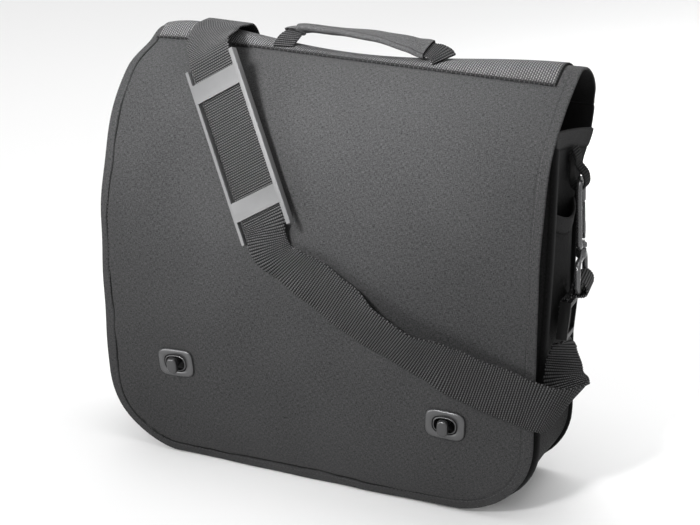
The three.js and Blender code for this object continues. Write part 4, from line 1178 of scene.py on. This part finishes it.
def ribbon(name, stations, width, steps_across):
    """Webbing along its stations, with ribs across it."""
    centres, across, spread, ripple = (np.array(column, float) for column in zip(*stations))
    spans = len(stations) - 1
    place = np.linspace(0, spans, spans * STATION_STEPS + 1)
    run = run_along(through(centres, place))
    along = np.arange(0, run[-1], RIB / RIB_STEPS)
    place = np.interp(along, run, place)
    share = np.linspace(-0.5, 0.5, steps_across)
    aside = unit(between(unit(across), place))
    wide = width * between(spread, place)
    grid = through(centres, place)[:, None] + aside[:, None] * (wide[:, None] * share)[..., None]
    wavy = RIPPLE_MIDDLE + waves(along[:, None], share * width, STRAP_WAVE)
    uneven = between(ripple, place)[:, None] * wavy
    grid = grid - grid_normals(grid) * uneven[..., None]
    lift = rib_lift(along)[:, None] * np.ones(steps_across)
    lift[:, [0, -1]] *= SELVAGE
    return wall_mesh(name, grid, lift, -lift, places=weave_places(along[:, None], share * width))


# Top band: its stitches lie a little inside both edges, counted in rows of the flap
BAND_STITCH = 0.12
BAND_THREAD = {"from_end": 3, "radius": 0.34}
# Painted shade in the slit under the band's edges: distance from the rim and half width
BAND_EDGE_SHADE = {"edge": 0.4, "half": 0.9}
# Steps across the band as shares of its half width
BAND_STEP = {"edge": 0.02, "edge_count": 6, "inside": 0.1}


def make_band():
    x = np.arange(-BAND_HALF, BAND_HALF + 0.01, RIB / RIB_STEPS)
    share = (from_both_ends(1.0, BAND_STEP["edge"], BAND_STEP["edge_count"], BAND_STEP["inside"]) + 1) / 2
    x, rows = np.meshgrid(x, mix(ROW["edge"], ROW["rear"], share), indexing="ij")
    grid = flap_at(x, rows) + flap_normal(x, rows) * (FLAP_WALL / 2 + GAP)
    across = run_along(grid[0])
    from_edge = np.minimum(across, across.max() - across)
    from_rim = np.minimum(from_edge, BAND_HALF - np.abs(x))
    # Painted shade of the slits under the band's edges
    marks = {"crease_shade": line_at(from_rim, BAND_EDGE_SHADE["edge"], BAND_EDGE_SHADE["half"])}
    face = WEBBING_WALL / 2 + rib_lift(x)
    return wall_mesh("top_band_webbing", grid, face, 0, marks, weave_places(x, across))


def make_band_thread(name, row):
    """Stitches along one edge of the top band."""
    end = BAND_HALF - BAND_THREAD["from_end"]
    x = np.arange(-end, end + 0.1, 1.0)
    rows = np.full(len(x), row)
    face = FLAP_WALL / 2 + GAP + WEBBING_WALL
    return stitches(name, flap_at(x, rows), flap_normal(x, rows), face, BAND_THREAD["radius"])


dress(make_band(), BAND_WEB, "webbing", "top_band")
dress(make_band_thread("band_front_thread", ROW["edge"] + BAND_STITCH), THREAD, "webbing")
dress(make_band_thread("band_rear_thread", ROW["rear"] - BAND_STITCH), THREAD, "webbing")

# Handle: stations of its feet, and between them x along the top, rise above the band and tilt in degrees
HANDLE_FOOT_LEFT = (
    ((-56, 10, 329.3), (-0.98, -0.2, 0), 0.75),
    ((-55.5, 11.8, 331), (-0.98, -0.2, 0), 0.8),
    ((-53.5, 16, 335.5), (-0.97, -0.05, -0.05), 0.9),
    ((-50.5, 20.5, 339.5), (-0.87, 0.46, -0.1), 1),
)
HANDLE_ARCH = ((-43, 13.2, -17), (-18, 14.8, -16), (18, 14.6, -6), (46, 10, 4), (60, 6.8, 14))
HANDLE_FOOT_RIGHT = (
    ((69, 17, 337), (0.2, 0.93, 0.3), 1),
    ((74, 15, 335), (0.5, 0.82, 0.28), 1),
    ((76, 13.5, 332.4), (0.62, 0.74, 0.26), 1),
)
HANDLE_WIDTH = 20
HANDLE_BEHIND = 0.35
HANDLE_ROW = (ROW["crest"] + ROW["edge"]) / 2 + HANDLE_BEHIND
# Sleeve on the handle from station to station: its size, room inside and the cloth's length round it
GRIP = {"from": 2.92, "to": 8.1, "width": 25, "depth": 6.6, "room": 2.8, "round": 56}
GRIP_SIDES = 72
GRIP_PLACES = 90
# Length that the sleeve's waves count for a station along it and for a radian round it
GRIP_WAVE = {"along": 30, "round": 5}
GRIP_BOXINESS = 0.62
# Seam of the sleeve: its height and half width, and where and how wide the painted shade of the fold beside
# it lies
GRIP_SEAM = {"height": 0.03, "half": 0.16, "crease_shade": 0.82, "crease_half": 0.05}


def handle_station(x, rise, tilt):
    out = flap_normal(np.array([x]), np.array([HANDLE_ROW]))[0]
    seat = flap_at(np.array([x]), np.array([HANDLE_ROW]))[0] + out * (FLAP_WALL / 2 + WEBBING_WALL + 2 * GAP)
    tipped = math.radians(tilt)
    return seat + np.array([0, 0, rise]), (0, math.cos(tipped), math.sin(tipped))


HANDLE = [Station(*row) for row in HANDLE_FOOT_LEFT]
HANDLE += [Station(*handle_station(*row)) for row in HANDLE_ARCH]
HANDLE += [Station(*row) for row in HANDLE_FOOT_RIGHT]
dress(ribbon("shaded_handle_webbing", HANDLE, HANDLE_WIDTH, 9), SHADED_HANDLE_WEB, "webbing", "handle_web")


def make_grip():
    """Sleeve of cloth round the handle's middle, sewn along one side."""
    angle = turns(GRIP_SIDES) + math.pi / GRIP_SIDES
    places = np.linspace(GRIP["from"], GRIP["to"], GRIP_PLACES)
    middle = through([station.centre for station in HANDLE], places)
    aside = unit(between([station.across for station in HANDLE], places))
    out = unit(np.cross(unit(np.gradient(middle, axis=0)), aside))

    def rounded(values):
        return np.sign(values) * np.abs(values) ** GRIP_BOXINESS

    def off_middle(width, depth, swell):
        wide = width / 2 * rounded(np.cos(angle)) * swell
        deep = depth / 2 * rounded(np.sin(angle)) * swell
        return aside[:, None] * wide[..., None] + out[:, None] * deep[..., None]

    wave_run = (places[:, None] - GRIP["from"]) * GRIP_WAVE["along"]
    uneven = waves(wave_run, angle * GRIP_WAVE["round"], SLEEVE_WAVE)
    seam = 1 + GRIP_SEAM["height"] * line_at(angle, math.pi, GRIP_SEAM["half"])
    outer = middle[:, None] + off_middle(GRIP["width"], GRIP["depth"], (1 + uneven) * seam)
    inner = middle[:, None] + off_middle(HANDLE_WIDTH + GRIP["room"], WEBBING_WALL + GRIP["room"], 1)
    grip = ring_mesh("handle_sleeve", np.concatenate([outer, inner[::-1]]), True)
    run = run_along(middle)
    along = np.concatenate([run, run[::-1]])
    around = angle / (2 * math.pi) * GRIP["round"]
    paint_values(grip, "weave", weave_places(along[:, None], around).reshape(-1, 3))
    # Painted shade of the fold beside the sleeve's seam
    crease_shade = line_at(angle, math.pi * GRIP_SEAM["crease_shade"], GRIP_SEAM["crease_half"])
    paint_values(grip, "crease_shade", np.tile(crease_shade, len(along)))
    return grip


handle_grip = dress(make_grip(), SLEEVE_CLOTH, "cloth", "handle_grip")

# Hook hardware: its frame has X out of the bag, Y across the webbing and Z up the hook
HOOK_FOOT = np.array([191.0, 10, 174])
HOOK_HEAD = np.array([184.5, 17, 252])
HOOK_TURN = 0.2
WIRE = 2.2
HOOK_HALF = 11.5
HOOK_RISE = 48
HOOK_CORNER = 6
HOOK_HEEL = 4
HOOK_BAR = 3.2
EYE_HALF = 21.5
EYE_RISE = 26
EYE_CORNER = 6
EYE_TOP = EYE_RISE - 4
HOOK_BASE = EYE_RISE + 4
HOOK_BEND = HOOK_BASE + HOOK_RISE - HOOK_CORNER + WIRE
NOSE_DROP = 12
NOSE = HOOK_BEND - NOSE_DROP
CHEEK = {"longer": 1, "high": 3, "rounding": 0.7}
GATE = {"pivot": HOOK_BASE + 5.5, "foot": 1.7, "thick": 3.6, "rounding": 0.8, "spare": 0.1, "chamfer": 0.6}
# Spine of a hook: how high its lower bar lies, where its heel starts and the room for its rounded tip
SPINE = {"low": 2, "heel": 3, "tip": 1}
# Left hook: its closing bar's extra length and rounding, and its neck's radius and reach
LEFT_HOOK = {"longer": 1, "rounding": 0.6, "neck": 3, "neck_reach": 2}
# Thumb button on the gate: how far out, and the heights between which it rises, stands and falls
BUTTON = {"out": 4.5, "heights": (2, 5, 11, 14)}
# Swivel collars as pairs of radius and height: the hook's above its base, the eye's above the eye's top
COLLAR = ((3.4, 0), (4.5, 0.6), (4.5, 2.6), (4.1, 3.6), (3.2, 4))
EYE_COLLAR = ((3.0, 0), (3.9, 1), (3.9, 7), (3.0, 7.7))


def hook_matrix(side):
    """Frame of a hook; side is 1 on the right and -1 on the left."""
    mirror = np.array([side, 1, 1])
    foot = HOOK_FOOT * mirror
    up = unit(HOOK_HEAD * mirror - foot)
    across = square_to(np.array([-HOOK_TURN, side, 0.0]), up)
    return basis(np.cross(across, up), across, up, foot)


def arc(y, z, radius, start, end, steps):
    angle = np.radians(np.linspace(start, end, steps + 1))
    return np.stack([np.zeros(steps + 1), y + radius * np.cos(angle), z + radius * np.sin(angle)], -1)


def collar(name, profile, base, matrix):
    return barrel(name, [radius for radius, _ in profile], [base + rise for _, rise in profile], matrix)


def make_hook_body(name, matrix):
    low = HOOK_BASE + SPINE["low"]
    spine = np.concatenate([
        [[0, 0, low], [0, -HOOK_HALF + SPINE["heel"], low]],
        arc(-HOOK_HALF + HOOK_HEEL, low + HOOK_HEEL, HOOK_HEEL, 250, 180, 6),
        arc(-HOOK_HALF + HOOK_CORNER, HOOK_BEND, HOOK_CORNER, 180, 90, 10),
        arc(HOOK_HALF - HOOK_CORNER, HOOK_BEND, HOOK_CORNER, 90, 0, 10),
        [[0, HOOK_HALF, NOSE + SPINE["tip"]]],
    ])
    bow = wire("spine", spine, WIRE, False, matrix)
    ring = collar("collar", COLLAR, HOOK_BASE, matrix)
    size = (HOOK_BAR, HOOK_HALF + CHEEK["longer"], CHEEK["high"])
    cheek = block("cheek", size, (0, HOOK_HALF / 2, HOOK_BASE + CHEEK["high"] / 2), matrix)
    return united(name, [bow, ring, soften(cheek, CHEEK["rounding"])])


def gate_outline():
    """Gate seen along its pivot: a bar with a thumb button that stands out of it."""
    tip = NOSE - GAP - GATE["spare"]
    low = GATE["pivot"] - GATE["foot"]
    inner = HOOK_HALF - GATE["thick"] / 2
    edge = HOOK_HALF + GATE["thick"] / 2
    proud = edge + BUTTON["out"]
    button = [(out, low + height) for out, height in zip((edge, proud, proud, edge), BUTTON["heights"])]
    return [(inner, low), (edge - GATE["chamfer"], low)] + button + [(edge, tip), (inner, tip)]


def make_eye(name, matrix):
    """Loop that the strap is threaded on, under its swivel collar."""
    aside, high = EYE_HALF - EYE_CORNER, EYE_TOP - EYE_CORNER
    corners = ((aside, EYE_CORNER), (aside, high), (-aside, high), (-aside, EYE_CORNER))
    loop = np.concatenate([arc(y, z, EYE_CORNER, 90 * k - 90, 90 * k, 8) for k, (y, z) in enumerate(corners)])
    ring = collar("eye_collar", EYE_COLLAR, EYE_TOP, matrix)
    return united(name, [wire("eye_loop", loop, WIRE, True, matrix), ring])


def make_left_hook():
    """Hidden hook in one piece, its gate closed and its collars joined."""
    size = (HOOK_BAR, HOOK_BAR, NOSE - HOOK_BASE + LEFT_HOOK["longer"])
    middle = (0, HOOK_HALF, (NOSE + HOOK_BASE) / 2)
    closing = soften(block("closing", size, middle, LEFT), LEFT_HOOK["rounding"])
    radius, reach = LEFT_HOOK["neck"], LEFT_HOOK["neck_reach"]
    neck = barrel("neck", (radius, radius), (HOOK_BASE - reach, HOOK_BASE + reach), LEFT)
    body, eye = make_hook_body("left_body", LEFT), make_eye("left_eye", LEFT)
    return united("hook_left_whole", [body, closing, neck, eye])


RIGHT, LEFT = hook_matrix(1), hook_matrix(-1)
dress(make_hook_body("hook_right_frame", RIGHT), HOOK_METAL, "metal", "hook_right_body")
gate = soften(prism("hook_right_latch", gate_outline(), GATE["thick"], RIGHT), GATE["rounding"])
dress(gate, HOOK_METAL, "metal", "hook_right_gate", body="hook_gate")
dress(make_eye("hook_right_loop", RIGHT), HOOK_METAL, "metal", "hook_right_eye")
dress(make_left_hook(), HOOK_METAL, "metal", "hook_left")

# Webbing loops of the hooks, sewn to the gusset at a height
TAB_ANCHOR = 273
TAB_OFF = 1
# Points of a loop: whether they are counted from its seam or from the hook's head, then out and up
TAB_LOOP = (
    ("seam", 0, 3), ("seam", 1, -6), ("head", -7, 3), ("head", -4.4, -2.8), ("head", 0, -4.4),
    ("head", 4.2, -1), ("head", 3.4, 7), ("head", -3, 15), ("seam", 5, -1), ("seam", WEBBING_WALL + 0.6, 5),
)


def tab_stations(side):
    start = front_seam(TAB_ANCHOR)
    head_x, y, head_z = HOOK_HEAD
    part = (y - start) / (back_seam(TAB_ANCHOR) - start)
    seam_x = gusset_at(BODY_HALF, TAB_ANCHOR, 1, 0, part)[0] + TAB_OFF + WEBBING_WALL / 2
    places = {"seam": (seam_x, TAB_ANCHOR), "head": (head_x, head_z)}
    stations = []
    for key, out, up in TAB_LOOP:
        x, z = places[key]
        stations.append(Station((side * (x + out), y, z + up), (0, 1, 0)))
    return stations


for name, side in SIDES:
    tab = ribbon(f"tab_{name}_webbing", tab_stations(side), TAB_WIDTH, 7)
    dress(tab, SHADED_TAB_WEB, "webbing", f"tab_{name}")

# Shoulder strap: ends in the frames of the slider and the eye, as out and up
STRAP_END = (
    ("slider", -2.2, -12), ("slider", -2.2, 0), ("slider", -2.4, 13), ("eye", -5.2, -2), ("eye", -3.8, 6),
    ("eye", 1.6, 8.6), ("eye", 6.2, 4), ("eye", 5.6, -2), ("slider", 2.2, 16), ("slider", 2.2, 2),
    ("slider", 2.2, -16),
)
SLIDER_PLACE = np.array([182.5, 0, 152])
SLIDER_LEAN = 0.25
# The turn at the bag's right edge
STRAP_TURN = (
    ((185.5, -7, 131), (0.2, 0.9, -0.35), 1),
    ((189, -16, 118), (0.5, 0.8, -0.3), 1),
    ((194, -25, 106), (0.62, 0.72, 0.1), 1.05),
    ((198, -34, 98.5), (0.5, 0.6, 0.62), 1.1),
    ((198, -44, 97.5), (0.45, 0.3, 0.84), 1.1),
    ((190, -55, 100), (0.36, 0.05, 0.93), 1.03),
)
# Over the front, where its upper edge stands off the flap, to the fold under the frame
STRAP_FRONT = (
    ((172.5, -61, 106), (0.26, -0.05, 0.96), 1.06),
    ((160, -63.5, 110.5), (0.27, -0.06, 0.96), 1.08),
    ((140.5, -65.5, 115.5), (0.31, -0.08, 0.95), 1.08),
    ((123, -67.8, 121.8), (0.36, -0.12, 0.93), 1.08),
    ((108, -71, 128.9), (0.48, -0.2, 0.86), 1.07),
    ((81, -75.2, 138), (0.56, -0.38, 0.74), 1.02),
    ((52.5, -74, 150.5), (0.55, -0.27, 0.79), 1.02),
    ((31.5, -72.3, 163), (0.55, -0.13, 0.83), 1.07),
    ((6.7, -72.5, 178.5), (0.58, -0.13, 0.8), 1.06),
    ((-11, -72.5, 187), (0.7, -0.08, 0.7), 0.92),
    ((-23.5, -73.5, 194), (0.84, 0.3, 0.45), 0.8),
    ((-28, -75, 207), (0.92, 0.28, 0.25), 0.8),
)
# Over the crest on the left, down the back and round the left edge
STRAP_BACK = (
    ((-112, 3, 337.5), (0.92, 0.3, 0.1)),
    ((-115, 27, 338), (0.97, 0.12, -0.02)),
    ((-120, 48, 333), (0.99, 0.05, -0.04)),
    ((-123, 63.5, 318), (0.99, 0, -0.1)),
    ((-128, 66, 285), (0.99, 0, -0.14)),
    ((-138, 60, 220), (0.98, 0, -0.16)),
    ((-152, 57, 150), (0.97, 0, -0.22)),
    ((-168, 54, 98), (0.9, 0.35, -0.25)),
    ((-182, 46, 68), (0.72, 0.65, -0.2)),
    ((-194, 33, 60), (0.45, 0.89, 0)),
    ((-199, 20, 72), (0.2, 0.97, 0.15)),
    ((-197, 11, 106), (0.1, 0.99, 0.1)),
)
STRAP_RIPPLE = 0.9
STRAP_UNDER_FRAME = 2.4
# Ladder frame on the strap: its frame has X across the strap and Y up along it
FRAME_PLACE = np.array([-60.2, -56.5, 267.3])
FRAME_RUN = unit(np.array([-0.505, 0.329, 0.798]))
FRAME_ACROSS = square_to(np.array([0.855, 0.062, 0.515]), FRAME_RUN)
FRAME_MATRIX = basis(FRAME_ACROSS, FRAME_RUN, np.cross(FRAME_ACROSS, FRAME_RUN), FRAME_PLACE)
FRAME = {"length": 142, "width": 47, "bar": 15, "bar_thick": 2.2, "upper": 12, "lower": 18, "rail": 2.4}
LEFT_RAIL = {"deep": 4.4, "below": 1.1}
RIGHT_RAIL = {"deep": 6, "below": 0.5, "wider": 1}
STRAP_IN_FRAME = (-0.4, -0.3, 0, 0.3, 0.45, 0.55)
SLIDER = {"length": 28, "rail": 3, "deep": 8, "bar": 4, "bar_thick": 2, "room": 0.8}
SLIDER_MIDDLE = {"bar": 5, "thick": 1.4}
PLASTIC_ROUNDING = 0.6


def slider_matrix(side):
    up = unit(np.array([0, SLIDER_LEAN, 1]))
    across = square_to(hook_matrix(side)[:3, 1], up)
    return basis(np.cross(across, up), across, up, SLIDER_PLACE * np.array([side, 1, 1]))


def end_stations(side):
    frames = {"eye": hook_matrix(side), "slider": slider_matrix(side)}
    return [Station(placed(frames[key], (out, 0, up)), frames[key][:3, 1] * side)
            for key, out, up in STRAP_END]


def frame_stations():
    places = [(0, part * FRAME["length"], -STRAP_UNDER_FRAME) for part in STRAP_IN_FRAME]
    return [Station(place, FRAME_ACROSS) for place in placed(FRAME_MATRIX, places)]


STRAP = end_stations(1)
STRAP += [Station(*row) for row in STRAP_TURN]
STRAP += [Station(*row, STRAP_RIPPLE) for row in STRAP_FRONT]
STRAP += frame_stations()
STRAP += [Station(*row) for row in STRAP_BACK]
STRAP += end_stations(-1)[::-1]
dress(ribbon("strap_webbing", STRAP, WEBBING, 12), STRAP_WEB, "webbing", "strap")


def make_frame():
    """Ladder piece on the strap: a flat left rail, a proud right rail and two flat bars."""
    length, rail = FRAME["length"], FRAME["rail"]
    aside = (FRAME["width"] - rail) / 2
    left = (rail, length, LEFT_RAIL["deep"])
    right = (rail + RIGHT_RAIL["wider"], length, RIGHT_RAIL["deep"])
    bar = (2 * aside, FRAME["bar"], FRAME["bar_thick"])
    bar_end = (length - FRAME["bar"]) / 2
    ladder = united("strap_frame_plastic", [
        block("rail", left, (-aside, 0, -LEFT_RAIL["below"]), FRAME_MATRIX),
        block("rail", right, (aside - RIGHT_RAIL["wider"] / 2, 0, -RIGHT_RAIL["below"]), FRAME_MATRIX),
        block("bar", bar, (0, bar_end - FRAME["upper"], 0), FRAME_MATRIX),
        block("bar", bar, (0, FRAME["lower"] - bar_end, 0), FRAME_MATRIX),
    ])
    return soften(ladder, PLASTIC_ROUNDING)


def make_slider():
    """Length slider: two rails, a bar at each end over the strap and one between its layers."""
    matrix = slider_matrix(1)
    aside = WEBBING / 2 + SLIDER["room"] + SLIDER["rail"] / 2
    out = STRAP_END[-1][1] + WEBBING_WALL / 2 + SLIDER["room"] + SLIDER["bar_thick"] / 2
    rail_out = out - (SLIDER["deep"] - SLIDER["bar_thick"]) / 2
    end = (SLIDER["length"] - SLIDER["bar"]) / 2
    rail = (SLIDER["deep"], SLIDER["rail"], SLIDER["length"])
    bar = (SLIDER["bar_thick"], 2 * aside, SLIDER["bar"])
    middle_bar = (SLIDER_MIDDLE["thick"], 2 * aside, SLIDER_MIDDLE["bar"])
    blocks = [block("rail", rail, (rail_out, side * aside, 0), matrix) for side in (-1, 1)]
    blocks += [block("bar", bar, (out, 0, side * end), matrix) for side in (1, -1)]
    blocks.append(block("bar", middle_bar, (0, 0, 0), matrix))
    return soften(united("strap_slider_plastic", blocks), PLASTIC_ROUNDING)


dress(make_frame(), PLASTIC, "plastic", "strap_frame")
dress(make_slider(), BLACK_PLASTIC, "plastic", "strap_slider")

# Turn locks
PLATE = {"width": 31, "height": 23.5, "thick": 2}
KNOB = {"width": 8.6, "height": 13.2, "thick": 4.6, "square": 3.2, "rounding": 1.5, "crown": 0.2}
LOCK_REACH = 2.5
KNOB_SEAT = PLATE["thick"] + LOCK_REACH
POST_RADIUS = 2.6
# Rings of the plate from its underside to its face: inset from its outline, squareness, height from its top
PLATE_EDGE = ((0.3, 4.2, -2), (0, 4.2, -1.7), (0, 4.2, -1), (0.25, 4.2, -0.4), (0.8, 4.2, -0.08), (1.6, 4, 0))
# A ring in the middle of its face: share of the way from the slot to the outline, squareness and rise
PLATE_MIDDLE = {"share": 0.6, "square": 3.2, "rise": 0.1}
# Rings from its face into the slot: distance from the slot, squareness, height from its top, how dark as
# painted shade in the groove and the slot's wall
PLATE_SLOT = (
    (2.0, 2.7, 0.1, 0), (1.75, 2.7, -0.2, 0.9), (1.4, 2.7, -0.6, 0.9), (1.1, 2.7, -0.5, 0.9),
    (0.9, 2.6, 0.2, 0), (0.5, 2.6, 0.55, 0), (0.15, 2.6, 0.4, 0), (0, 2.6, 0, 1), (0, 2.6, -2, 1),
)
# Rings of the knob's underside: inset from its outline and height
KNOB_FOOT = ((1.0, 0), (0.3, 0.3), (0, 0.9))
KNOB_FACE = {"inset_x": 2.8, "inset_y": 3.2, "square": 3.0}
KNOB_STEPS = 8


def make_plate(name, matrix):
    """Pressed plate with a groove and a raised rim round its slot."""
    w, h = PLATE["width"] / 2, PLATE["height"] / 2
    sw, sh = LOCK_SLOT["width"] / 2, LOCK_SLOT["height"] / 2
    top = GAP + PLATE["thick"]
    rings = [oval(w - inset, h - inset, square, top + rise) for inset, square, rise in PLATE_EDGE]
    middle = [mix(slot, edge, PLATE_MIDDLE["share"]) for slot, edge in ((sw, w), (sh, h))]
    rings.append(oval(*middle, PLATE_MIDDLE["square"], top + PLATE_MIDDLE["rise"]))
    # Painted shade: the rings of the groove and the slot's wall are marked black
    dark = [0] * len(rings) + [row[-1] for row in PLATE_SLOT]
    rings += [oval(sw + out, sh + out, square, top + rise) for out, square, rise, _ in PLATE_SLOT]
    plate = ring_mesh(name, placed(matrix, rings), True)
    paint_values(plate, "crease_shade", np.repeat(dark, len(rings[0])))
    return plate


def make_knob(name, matrix):
    """Upright knob with a flat face, rounder at its edges."""
    w, h, rounding = KNOB["width"] / 2, KNOB["height"] / 2, KNOB["rounding"]
    low = KNOB_SEAT + GAP
    top = low + KNOB["thick"]
    rings = [oval(w - inset, h - inset, KNOB["square"], low + rise) for inset, rise in KNOB_FOOT]
    for angle in np.linspace(0, math.pi / 2, KNOB_STEPS):
        inset = rounding * (1 - math.cos(angle))
        height = top - KNOB["crown"] - rounding * (1 - math.sin(angle))
        rings.append(oval(w - inset, h - inset, KNOB["square"], height))
    rings.append(oval(w - KNOB_FACE["inset_x"], h - KNOB_FACE["inset_y"], KNOB_FACE["square"], top))
    return ring_mesh(name, placed(matrix, rings), False)


for lock, lock_x, lock_z, lock_roll in LOCKS:
    lock_frame = lock_matrix(lock_x, lock_z, lock_roll)
    depth = lock_frame[1, 3] - float(front_face(np.array([lock_x]), np.array([lock_z]))[0]) + SEAM_GAP
    dress(make_plate(f"lock_{lock}_face", lock_frame), PLATE_METAL, "metal", f"lock_{lock}_plate")
    post = barrel(f"lock_{lock}_stem", (POST_RADIUS, POST_RADIUS), (depth, KNOB_SEAT), lock_frame)
    dress(post, POST_METAL, "metal", f"lock_{lock}_post")
    dress(make_knob(f"lock_{lock}_turn_knob", lock_frame), KNOB_METAL, "metal", f"lock_{lock}_knob",
          body=f"lock_{lock}_turn")

# Camera, floor and light, in metres, watts and degrees
CAMERA_PLACE = (0.5492, -1.1446, 0.6594)
CAMERA_TURN = (68.7, 0.0, 25.4)
CAMERA_LENS = 89.5
FLOOR_TONE = 0.9
SKY_STRENGTH = 0.76
# Lights: name, place, aim, size, power and spread
LIGHTS = (
    ("softbox", (-0.2, -1.2, 1.1), (-0.03, 0, 0.4), (0.35, 0.3), 2.5, 28),
    ("top", (0, 0.15, 1.9), (0, 0.1, 0.2), (1.8, 1.4), 20, 180),
    ("low_left", (-0.8, -1.1, 0.12), (0, -0.05, 0.2), (0.6, 0.5), 1.6, 60),
)


def area_light(name, place, aim, size, power, spread):
    light = bpy.data.objects.new(name, bpy.data.lights.new(name, "AREA"))
    bpy.context.scene.collection.objects.link(light)
    light.location = place
    light.rotation_euler = (Vector(aim) - Vector(place)).to_track_quat("-Z", "Y").to_euler()
    light.data.shape = "RECTANGLE"
    light.data.size, light.data.size_y = size
    light.data.energy = power
    light.data.spread = math.radians(spread)
    return light


def make_camera():
    camera = bpy.data.objects.new("camera", bpy.data.cameras.new("camera"))
    bpy.context.scene.collection.objects.link(camera)
    camera.location = CAMERA_PLACE
    camera.rotation_euler = [math.radians(angle) for angle in CAMERA_TURN]
    camera.data.lens = CAMERA_LENS
    camera.data.sensor_width = 36
    bpy.context.scene.camera = camera
    return camera


def make_floor():
    half, below = 9000, 0.3
    corners = [(x * half, y * half, -below) for x, y in ((-1, -1), (1, -1), (1, 1), (-1, 1))]
    floor = new_object("floor", corners, [(0, 1, 2, 3)], smooth=False, closed=False)
    pale, _, shader = material("pale_floor")
    shader.inputs["Base Color"].default_value = (FLOOR_TONE, FLOOR_TONE, FLOOR_TONE, 1.0)
    shader.inputs["Roughness"].default_value = 0.9
    floor.data.materials.append(pale)
    return floor


def make_sky():
    world = bpy.data.worlds.new("studio")
    bpy.context.scene.world = world
    world.use_nodes = True
    sky = world.node_tree.nodes["Background"]
    sky.inputs["Color"].default_value = (1.0, 1.0, 1.0, 1.0)
    sky.inputs["Strength"].default_value = SKY_STRENGTH
    bpy.context.scene.view_settings.view_transform = "Standard"


make_floor()
make_camera()
[area_light(*light) for light in LIGHTS]
make_sky()
